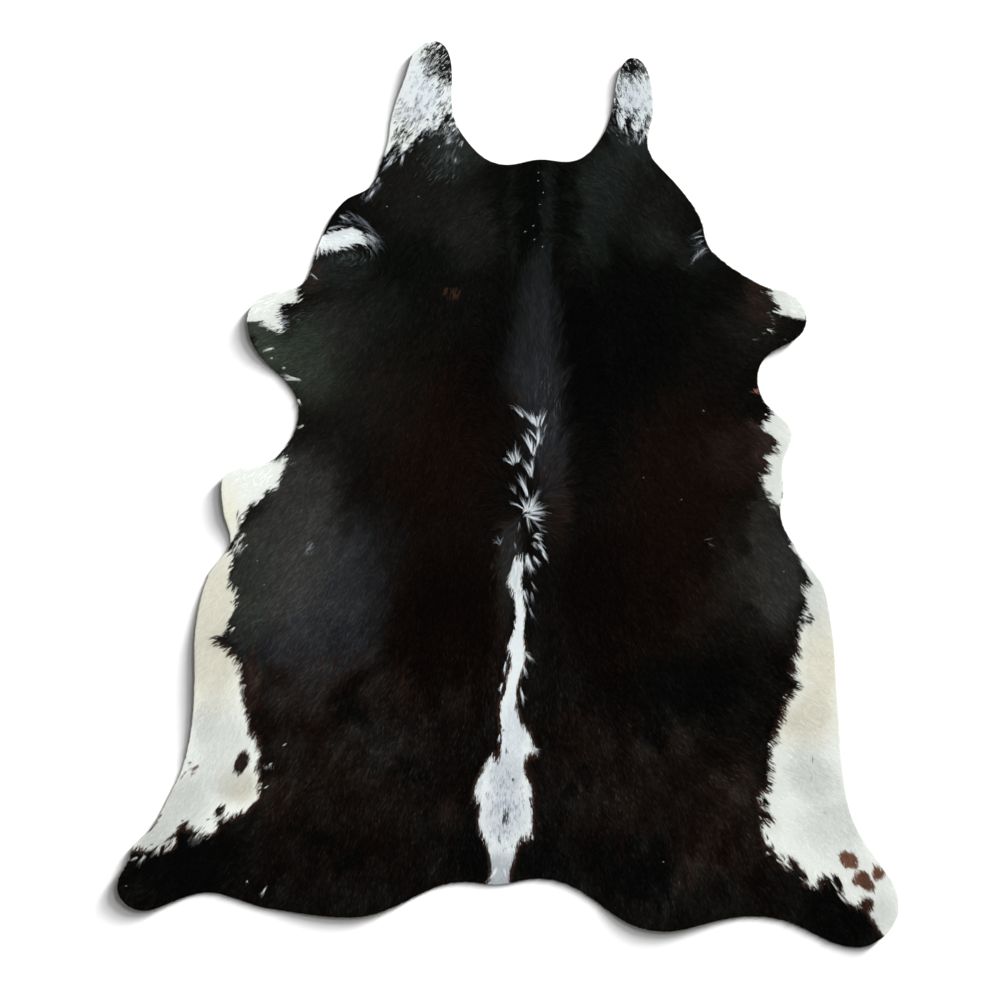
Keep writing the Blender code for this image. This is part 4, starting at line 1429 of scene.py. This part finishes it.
@dataclass
class Shell:
    """One closed layer of the hide, cut to its edge, with a rounded upper rim."""

    name: str
    edge: CutEdge
    cell: float        # the lattice's spacing, in metres
    bottom: float      # height of the underside above the floor, where the hide lies flat
    top: float
    rounding: float    # radius of the upper rim
    inset: float       # how far the layer stays inside the cut edge

    def lattice(self) -> tuple[np.ndarray, np.ndarray]:
        """Makes a lattice that fills the edge exactly.

        A square lattice covers the hide. Each point within half a cell of the edge moves
        onto it, so no cell's side crosses the edge any more. A cell with four points left
        gives two triangles, and one with three gives one.

        Returns:
            The points across and along, and the triangles.
        """
        depth_at_rim = self.inset + self.rounding
        low, high = self.edge.low - self.cell, self.edge.high + self.cell
        counts = np.ceil((high - low) / self.cell).astype(int) + 1
        spots = square_lattice(low, self.cell, counts)
        depth = self.edge.depth(spots) - depth_at_rim
        near = np.nonzero(np.abs(depth) <= 0.5 * self.cell)[0]
        _, on_edge = self.edge.nearest(spots[near])
        spots[near] = on_edge + self.edge.inward(on_edge) * depth_at_rim
        kept = depth > -0.5 * self.cell
        numbers = np.arange(len(spots)).reshape(counts)
        corners = [numbers[:-1, :-1], numbers[1:, :-1], numbers[1:, 1:], numbers[:-1, 1:]]
        corners = np.stack(corners, -1).reshape(-1, 4)
        has = kept[corners]
        whole = corners[has.all(1)]
        found = [whole[:, [0, 1, 2]], whole[:, [0, 2, 3]]]
        for missing in range(4):
            others = [k for k in range(4) if k != missing]
            found.append(corners[(~has[:, missing]) & has[:, others].all(1)][:, others])
        triangles = np.concatenate(found)
        one, two, three = (spots[triangles[:, k]] for k in range(3))
        area = 0.5 * ((two[:, 0] - one[:, 0]) * (three[:, 1] - one[:, 1])
                      - (two[:, 1] - one[:, 1]) * (three[:, 0] - one[:, 0]))
        middle_depth = self.edge.depth((one + two + three) / 3.0) - depth_at_rim
        # Slivers are left out, and so are triangles that bridge a bay of the edge.
        triangles = triangles[(area > 0.01 * self.cell**2) & (middle_depth > -0.1 * self.cell)]
        used, triangles = np.unique(triangles, return_inverse=True)
        return spots[used], triangles.reshape(-1, 3)

    def build(self) -> tuple[bpy.types.Object, np.ndarray]:
        """Closes the lattice into a layer.

        The rim's rings step outwards by r * sin(a) and down by r * (1 - cos(a)) from the
        upper face, then one wall goes down to the underside, which is the same lattice
        turned over.

        Returns:
            The object, and the place of each of its points across and along.
        """
        flat, triangles = self.lattice()
        count = len(flat)
        rim = open_sides(triangles)
        run = unit(flat[rim[:, 1]] - flat[rim[:, 0]])
        outward = np.zeros((count, 2))
        for end in (0, 1):
            np.add.at(outward, rim[:, end], -leftwards(run))
        outward = unit(outward)
        rim_points = np.unique(rim)
        place = np.full(count, -1)
        place[rim_points] = np.arange(len(rim_points))
        angles = np.radians([30.0, 60.0, 90.0])
        rings = [flat[rim_points] + outward[rim_points] * self.rounding * math.sin(a) for a in angles]
        drops = [self.top - self.rounding * (1.0 - math.cos(a)) for a in angles]
        under = flat + outward * self.rounding
        spots = np.concatenate([flat, *rings, under])
        heights = np.concatenate([
            np.full(count, self.top),
            *[np.full(len(rim_points), drop) for drop in drops],
            np.full(count, self.bottom),
        ])
        points = np.column_stack([spots, heights + lift(spots)])
        first_ring, underside = count + place[rim], count + len(rings) * len(rim_points)
        levels = [first_ring + k * len(rim_points) for k in range(len(rings))]
        levels = [rim, *levels, rim + underside]
        walls = []
        for upper, lower in zip(levels[:-1], levels[1:]):
            walls.append(np.stack([lower[:, 0], lower[:, 1], upper[:, 1]], 1))
            walls.append(np.stack([lower[:, 0], upper[:, 1], upper[:, 0]], 1))
        turned_over = triangles[:, ::-1] + underside
        thing = fill_mesh(self.name, points, np.concatenate([triangles, *walls, turned_over]))
        return thing, spots


@dataclass
class Locks:
    """A list of locks of hair, as whole arrays."""

    root: np.ndarray
    heading: np.ndarray
    length: np.ndarray
    width: np.ndarray
    curl: np.ndarray
    rise: np.ndarray
    hue: np.ndarray
    height: np.ndarray

    @classmethod
    def joined(cls, lists: Sequence["Locks"]) -> "Locks":
        """Puts several lists together."""
        return cls(*(np.concatenate(parts) for parts in zip(*(vars(one).values() for one in lists))))

    def chosen(self, which: np.ndarray) -> "Locks":
        """Takes some of the locks."""
        return Locks(*(values[which] for values in vars(self).values()))


Grades = tuple[float, float, float]  # one value for plain hair, one for mixed, one for the flaps


@dataclass
class HairCoat:
    """The hair of the hide, laid as flat, tapered locks."""

    edge: CutEdge
    nap: Nap
    colours: CoatColours
    ground: float = 0.0030        # the undercoat's upper face, above the floor
    rim_rounding: float = 0.0012
    overhang: float = 0.0014      # how far the hair may pass the cut edge
    cell: float = 0.0023          # of the lattice that the roots are sown on
    sowings: int = 3
    plain: float = 0.50           # locks for each cell in plain hair
    mixed: float = 2.00           # by borders and in mixed hair
    flaps: float = 2.60           # on the neck flaps
    clumps: Grades = (0.0060, 0.0031, 0.0033)  # the clumps' lattice
    pinches: Grades = (0.70, 0.84, 0.60)       # how far a clump's tips come together
    stretches: Grades = (1.0, 1.2, 1.0)        # the locks' length, as a share of the nap's
    widths: Grades = (0.0019, 0.0010, 0.0009)
    root_depth: float = 0.0004    # how far inside the cut edge a root lies at the least
    wander: float = 0.4           # radians, how far the nap strays over some centimetres
    lean: float = 0.3             # and how far each clump leans away from it
    highest: float = 0.0018       # a tip's greatest height over the undercoat
    bending: float = 3.2          # a strand's arc, in squares, for a curl of 1
    faint: float = 0.42           # the share of a tuft's locks that are darker, longer and looser
    tuft_width: float = 0.0007    # of one of its locks
    painted_shade_and_light: tuple[float, float] = (0.010, 0.030)  # up the card from root to tip, pale and dark: painted shade at the root, painted light at the tip
    tinting: float = 0.008        # across the card, over a lock's width
    sunk: float = 0.0003          # how deep a root lies in the undercoat
    lowest: float = 0.0012        # over the floor
    seed: int = 11

    def thickness(self, spots: np.ndarray, heading: np.ndarray) -> np.ndarray:
        """Gives how many locks each cell gets: few in plain hair, most on the neck flaps."""
        share = np.where(self.colours.borders(spots, heading), self.mixed, self.plain)
        return np.where(on_chart(spots)[:, 1] < FLAP_FOOT, self.flaps, share)

    def graded(self, dense: np.ndarray, values: Grades) -> np.ndarray:
        """Gives each lock its own value, by the thickness of the hair round it."""
        return np.interp(dense, (self.plain, self.mixed, self.flaps), values)

    def gathered(self, spots: np.ndarray, size: np.ndarray) -> tuple[np.ndarray, np.ndarray]:
        """Finds the clump that each root belongs to.

        Clumps stand one to each cell of a square lattice, moved at random in their cells,
        and a root belongs to the nearest.

        Args:
            spots: the roots.
            size: the lattice's cell at each root.

        Returns:
            The clumps' places, and a number from 0 to 1 that is each clump's own.
        """
        table, side = self.colours.noise.table, self.colours.noise.side
        home = np.floor(spots / size[:, None]).astype(int)
        nearest = np.full(len(spots), np.inf)
        place, luck = np.zeros((len(spots), 2)), np.zeros(len(spots))
        for across in (-1, 0, 1):
            for along in (-1, 0, 1):
                cell = home + (across, along)
                x, y = cell.T % side
                moved = np.stack([table[x, y], table[y, (x + 91) % side]], 1)
                there = (cell + moved) * size[:, None]
                far = ((there - spots) ** 2).sum(1)
                closer = far < nearest
                nearest = np.where(closer, far, nearest)
                place = np.where(closer[:, None], there, place)
                luck = np.where(closer, table[(x + 13) % side, (y + 177) % side], luck)
        return place, luck

    def sown(self, draw: np.random.Generator) -> Locks:
        """Sows locks all over the hide.

        Each sowing moves a square lattice's points at random in their own cells, and keeps
        as many as the thickness asks for. Thick places have finer locks. The locks of a
        clump lean together at their tips, lie at about one height and have about one
        colour, the coat's at the clump's middle.

        Args:
            draw: the source of random numbers.

        Returns:
            The locks.
        """
        counts = np.ceil((self.edge.high - self.edge.low) / self.cell).astype(int)
        cells = square_lattice(self.edge.low, self.cell, counts)
        cells = cells[self.edge.depth(cells) > -2 * self.cell]
        wanted = self.thickness(cells, self.nap.heading(cells))
        roots, thick = [], []
        for _ in range(self.sowings):
            spots = cells + self.cell * draw.random((len(cells), 2))
            kept = draw.random(len(cells)) * self.sowings < wanted
            kept &= self.edge.depth(spots) > self.root_depth
            roots.append(spots[kept])
            thick.append(wanted[kept])
        spots, dense = np.concatenate(roots), np.concatenate(thick)
        count = len(spots)
        centre, luck = self.gathered(spots, self.graded(dense, self.clumps))
        flow = self.nap.heading(centre)
        wander = self.colours.noise.patches(centre, WANDER) - 0.5
        flow = flow + wander * self.wander + (redrawn(luck, 31.7) - 0.5) * self.lean
        reach = self.nap.length(centre) * (0.8 + 0.4 * redrawn(luck, 71.3))
        reach *= self.graded(dense, self.stretches)
        ahead = pointing(flow)
        spread = flow + draw.normal(0.0, 0.10, count)
        own = spots + pointing(spread) * (reach * draw.uniform(0.6, 1.1, count))[:, None]
        gathered = centre + ahead * reach[:, None]
        aim = own + (gathered - own) * self.graded(dense, self.pinches)[:, None] - spots
        # The colour is the coat's about halfway along, nearer to the clump's middle than the lock's.
        halfway = (spots + ahead * (reach * 0.5)[:, None]) * 0.25
        halfway += (centre + ahead * (reach * 0.45)[:, None]) * 0.75
        hue, height = self.colours.at(halfway, flow, luck * 0.85 + draw.random(count) * 0.15)
        pale = height > PALE
        rear = ramp(on_chart(spots)[:, 1], *LOIN)
        scatter = np.clip(1.0 - height, 0.06, 1.0) * (0.12 + 0.09 * rear)
        height = height + (redrawn(luck, 17.9) - 0.5 + draw.normal(0.0, 0.32, count)) * scatter
        hue = hue + draw.normal(0.0, 0.02, count)
        rise = (redrawn(luck, 43.1) * 0.45 + draw.random(count) * 0.25 + 0.30) * self.highest
        rise *= np.where(pale, 0.7, 1.0)
        width = self.graded(dense, self.widths) * draw.uniform(0.75, 1.2, count)
        length = np.linalg.norm(aim, axis=1)
        curl = draw.normal(0.0, 0.05, count) * length
        return Locks(spots, np.arctan2(aim[:, 1], aim[:, 0]), length, width, curl, rise, hue, height)

    def brush(self, tuft: Tuft, draw: np.random.Generator) -> Locks:
        """Lays the fine locks of one tuft.

        A tuft is a fan of strands. Each strand has its own place across the tuft, reach and
        bend, and a few locks that start at random along the tuft's first half and end
        together at the strand's tip. A strand's midline is off its straight course by
        arc * (t * t - t), to the left, and a lock that starts at share t takes the rest.

        Args:
            tuft: the tuft's row.
            draw: the source of random numbers.

        Returns:
            The locks.
        """
        root, tip = on_hide([(tuft.across, tuft.down), (tuft.tip_across, tuft.tip_down)])
        run = tip - root
        reach = float(np.linalg.norm(run))
        ahead = run / reach
        side = np.array([-ahead[1], ahead[0]])
        wide = np.array([tuft.root_width, tuft.tip_width]) * SQUARE
        strands = max(2, round(tuft.tip_width * 0.75) + 1)
        each = max(4, int(3.0 + 0.16 * reach / SQUARE))
        place = (np.arange(strands) + draw.uniform(0.1, 0.9, strands)) / strands - 0.5
        which = np.repeat(np.arange(strands), each)
        count = len(which)
        faint = draw.random(count) < self.faint
        start = draw.uniform(0.0, 0.55, count) * draw.uniform(0.1, 1.0, count)
        outer = 1.0 - 0.22 * np.abs(2.0 * place)
        finish = (outer * draw.uniform(0.62, 1.15, strands))[which] * draw.uniform(0.66, 1.0, count)
        finish = np.maximum(finish * np.where(faint, 1.22, 1.0), start + 0.3)
        across = place[which] + draw.normal(0.0, 0.10, count)
        spots = root + np.outer(start * reach, ahead) + np.outer(
            across * (wide[0] + (wide[1] - wide[0]) * start), side)
        stray = draw.normal(0.0, SQUARE, count) * np.where(faint, 1.20, 0.25)
        tips = place[which] * wide[1] * 1.4 * finish + stray
        ends = root + np.outer(finish * reach, ahead) + np.outer(tips, side)
        loose = np.clip(reach / SQUARE / 16.0, 0.15, 1.0)
        splay = place * (wide[1] + 1.5 * SQUARE) / SQUARE * 0.9 + draw.normal(0.0, 0.7, strands)
        bend = self.bending * (tuft.curl * draw.uniform(0.7, 1.2, strands) + splay * loose)[which]
        arc = (bend + draw.normal(0.0, 0.8, count) * loose) * SQUARE
        share = start / finish
        spots += np.outer(arc * (share**2 - share), side)
        curl = arc * (1.0 - share) ** 2
        aim = ends - spots
        length = np.maximum(np.linalg.norm(aim, axis=1), 0.003)
        heading = np.arctan2(aim[:, 1], aim[:, 0]) - curl / length
        width = self.tuft_width * draw.uniform(0.50, 1.1, count) * np.where(faint, 0.75, 1.0)
        rise = self.highest * draw.uniform(0.95, 1.25, count)
        height = CARD.height(tuft.level) + draw.normal(0.0, 0.015, count)
        height -= draw.uniform(0.04, 0.14, count) * faint
        hue = tuft.hue.place + draw.normal(0.0, 0.03, count)
        return Locks(spots, heading, length, width, curl, rise, hue, height)

    def trimmed(self, locks: Locks) -> Locks:
        """Cuts each lock that passes the edge, where its depth would fall to the overhang.

        Args:
            locks: the locks.

        Returns:
            Those whose roots lie on the hide, cut to length.
        """
        way = pointing(locks.heading)
        length = locks.length.copy()
        here = self.edge.depth(locks.root)
        for _ in range(3):
            there = self.edge.depth(locks.root + way * length[:, None])
            past = there < -self.overhang
            share = (here + self.overhang) / np.maximum(here - there, 1e-6)
            length = np.where(past, length * np.clip(share, 0.02, 1.0), length)
        locks.curl = locks.curl * (length / locks.length) ** 2
        locks.length = length
        return locks.chosen((length > 0.0015) & (here > 0.0))

    def skin_height(self, spots: np.ndarray) -> np.ndarray:
        """Gives the height of the undercoat, rounded down at the rim as a quarter circle.

        Args:
            spots: places in metres.

        Returns:
            The height at each place, in metres above the floor.
        """
        inside = np.clip(self.edge.depth(spots) / self.rim_rounding, 0, 1)
        rounded = 1.0 - np.sqrt(np.clip(1.0 - (1.0 - inside) ** 2, 0, 1))
        return lift(spots) + self.ground - self.rim_rounding * rounded

    def mesh(self, name: str, locks: Locks, rings: Sequence[tuple[float, float]], bow: float,
             draw: np.random.Generator, dress: bpy.types.Material) -> bpy.types.Object:
        """Makes one piece of the coat.

        A lock's midline is root + t * length ahead and curl * t * t to the left, for t
        from 0 to 1. It has a point at each end, and a pair of points at each ring, half
        its width to either side. It climbs from the undercoat by rise * t ** bow, and rolls
        a little to one side.

        Args:
            name: the piece's name.
            locks: the piece's locks.
            rings: the rings' places along a lock, and their widths as shares of its own.
            bow: the power of the climb, below 1 where the locks stand up at their roots.
            draw: the source of random numbers.
            dress: the hair's material.

        Returns:
            The piece.
        """
        count, pairs = len(locks.root), len(rings)
        way = pointing(locks.heading)
        side = leftwards(way)
        pale = locks.height > PALE
        roll = draw.normal(0.0, 1.0, count) * locks.width * np.where(pale, 0.06, 0.14)
        last = 2 * pairs + 1
        points = np.empty((count, last + 1, 3))
        corners = np.empty((count, last + 1, 2))
        painted_lock_shade = np.where(pale, *self.painted_shade_and_light)
        stations = [(0, 0.0, 0.0)]
        for k, (share, full) in enumerate(rings):
            stations += [(2 * k + 1, share, 0.5 * full), (2 * k + 2, share, -0.5 * full)]
        for corner, share, half in [*stations, (last, 1.0, 0.0)]:
            sideways = locks.curl * share**2 + locks.width * half
            spots = locks.root + way * (locks.length * share)[:, None] + side * sideways[:, None]
            over = np.clip(-self.edge.depth(spots) / self.overhang, 0, 1)
            climb = locks.rise * share**bow * (1.0 - over) + 2.0 * roll * half
            points[:, corner, :2] = spots
            points[:, corner, 2] = self.skin_height(spots) + climb - (self.sunk if corner == 0 else 0.0)
            corners[:, corner, 0] = self.tinting * half
            # Painted shade towards each lock's root, where it lies under the others, and painted light
            # towards its tip.
            corners[:, corner, 1] = painted_lock_shade * (1.3 * share - 0.8)
        points[:, :, 2] = np.maximum(points[:, :, 2], self.lowest)
        faces = [(0, 2, 1)]
        for k in range(1, last - 2, 2):
            faces += [(k, k + 1, k + 3), (k, k + 3, k + 2)]
        faces.append((last - 1, last, last - 2))
        first = np.arange(count)[:, None, None] * (last + 1)
        triangles = (first + np.array(faces)).reshape(-1, 3)
        thing = fill_mesh(name, points.reshape(-1, 3), triangles)
        corners[:, :, 0] += np.clip(locks.hue, 0.03, 0.97)[:, None]
        corners[:, :, 1] += np.clip(locks.height, 0.04, 0.97)[:, None]
        uv = corners[:, np.ravel(faces)].reshape(-1, 2)
        thing.data.uv_layers.new(name=LOCK_MAP).data.foreach_set("uv", uv.astype(np.float32).ravel())
        thing.data.materials.append(dress)
        return thing

    def build(self, dress: bpy.types.Material) -> list[bpy.types.Object]:
        """Makes the whole coat, one piece for each of its areas, and one of the tufts.

        Args:
            dress: the hair's material.

        Returns:
            The pieces.
        """
        draw = np.random.default_rng(self.seed)
        field_locks = self.trimmed(self.sown(draw))
        made = []
        for name, (west, east, south, north) in HAIR_AREAS.items():
            x, y = field_locks.root.T
            mine = field_locks.chosen((x >= west) & (x < east) & (y >= south) & (y < north))
            made.append(self.mesh(name, mine, ((0.40, 1.0),), 1.2, draw, dress))
        feathers = self.trimmed(Locks.joined([self.brush(tuft, draw) for tuft in TUFTS]))
        made.append(self.mesh("coat_tufts", feathers, ((0.25, 1.0), (0.65, 0.62)), 0.5, draw, dress))
        return made


@dataclass
class CowhideRug:
    """The whole rug: skin, undercoat and hair."""

    skin_top: float = 0.0020
    undercoat_top: float = 0.0030
    flat_width: float = 1.836
    flat_length: float = 2.130
    flat_area: float = 2.40

    def build(self) -> list[bpy.types.Object]:
        """Returns:
            The pieces.
        """
        edge, nap, colours, finish = CutEdge(), Nap(), CoatColours(), CoatFinish()
        skin, _ = Shell("hide_skin", edge, cell=0.018, bottom=0.0, top=self.skin_top,
                        rounding=0.0005, inset=0.0).build()
        skin.data.materials.append(SuedeFinish().material())
        under, spots = Shell("coat_under", edge, cell=0.008, bottom=self.skin_top - 0.0003,
                             top=self.undercoat_top, rounding=0.0010, inset=0.0004).build()
        hue, height = colours.at(spots, nap.heading(spots), np.full(len(spots), 0.5))
        # Painted shade: the undercoat is darker than the hair above it, a little under the white and much
        # more under the black.
        height -= np.where(height > PALE, 0.012, 0.05)
        for label, values in (("hue", hue), ("height", height)):
            shown = under.data.attributes.new(label, "FLOAT", "POINT")
            shown.data.foreach_set("value", values.astype(np.float32))
        under.data.materials.append(finish.undercoat())
        hair = HairCoat(edge, nap, colours, ground=self.undercoat_top).build(finish.locks())
        pieces = [skin, under, *hair]
        for piece in pieces:
            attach(piece, "root")
        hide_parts("hide")
        return pieces


@dataclass
class Studio:
    """A pale floor, soft light and a camera straight above.

    The rug and the floor have lamps of their own. The floor's stand lower, on the upper
    right, and give the rug its soft shadow to the lower left.
    """

    frame_width: float = 2.35       # metres that the picture spans
    camera_height: float = 14.0
    sensor: float = 36.0
    sky: float = 0.13

    def floor(self) -> bpy.types.Object:
        """Lays the floor, a plain pale sheet just below the hide's underside.

        Returns:
            The floor.
        """
        half, below = 9.0, -0.0002
        ends = ((-half, -half), (half, -half), (half, half), (-half, half))
        points = np.array([(x, y, below) for x, y in ends])
        floor = fill_mesh("studio_floor", points, np.array([[0, 1, 2], [0, 2, 3]]))
        book = NodeBook("studio_floor")
        book.shader.inputs["Base Color"].default_value = (0.98, 0.98, 0.98, 1.0)
        book.shader.inputs["Roughness"].default_value = 0.9
        book.shader.inputs["Specular IOR Level"].default_value = 0.0
        floor.data.materials.append(book.material)
        return floor

    @staticmethod
    def hang(lamp: Lamp, lit: Sequence[bpy.types.Object]) -> None:
        """Hangs a lamp that lights nothing but the given things.

        Args:
            lamp: the lamp's row.
            lit: what it lights.
        """
        light = bpy.data.lights.new(lamp.name, "SUN")
        light.energy = lamp.strength
        light.angle = math.radians(lamp.softness)
        thing = bpy.data.objects.new(lamp.name, light)
        up, turn = math.radians(lamp.height), math.radians(lamp.side)
        towards = Vector((math.cos(up) * math.cos(turn), math.cos(up) * math.sin(turn), math.sin(up)))
        thing.rotation_mode = "QUATERNION"
        thing.rotation_quaternion = towards.to_track_quat("Z", "Y")
        bpy.context.scene.collection.objects.link(thing)
        group = bpy.data.collections.new(lamp.name + "_lights")
        for one in lit:
            group.objects.link(one)
        thing.light_linking.receiver_collection = group

    def camera(self) -> None:
        """Sets the camera over the middle of the chart, looking straight down."""
        middle = on_hide([(500.0, 500.0)])[0]
        lens = bpy.data.cameras.new("camera")
        lens.sensor_width = self.sensor
        lens.lens = self.sensor * self.camera_height / self.frame_width
        lens.clip_end = 100.0
        thing = bpy.data.objects.new("camera", lens)
        thing.location = (middle[0], middle[1], self.camera_height)
        bpy.context.scene.collection.objects.link(thing)
        bpy.context.scene.camera = thing

    def build(self, rug: Sequence[bpy.types.Object]) -> None:
        """Sets up the floor, the lamps, the pale surroundings and the camera.

        Args:
            rug: the pieces that the rug's lamp lights.
        """
        floor = self.floor()
        self.hang(RUG_LAMP, rug)
        for lamp in FLOOR_LAMPS:
            self.hang(lamp, [floor])
        scene = bpy.context.scene
        scene.world = bpy.data.worlds.new("studio")
        scene.world.use_nodes = True
        around = scene.world.node_tree.nodes["Background"]
        around.inputs["Color"].default_value = (1.0, 1.0, 1.0, 1.0)
        around.inputs["Strength"].default_value = self.sky
        scene.view_settings.view_transform = "Standard"
        self.camera()


def main() -> None:
    """Builds the rug and the studio, and reports each piece."""
    logging.basicConfig(level=logging.INFO, format="%(message)s")
    pieces = CowhideRug().build()
    for piece in pieces:
        LOG.info("%s: %d triangles", piece.name, len(piece.data.polygons))
    LOG.info("all pieces: %d triangles", sum(len(piece.data.polygons) for piece in pieces))
    Studio().build(pieces)


if __name__ == "__main__":
    main()
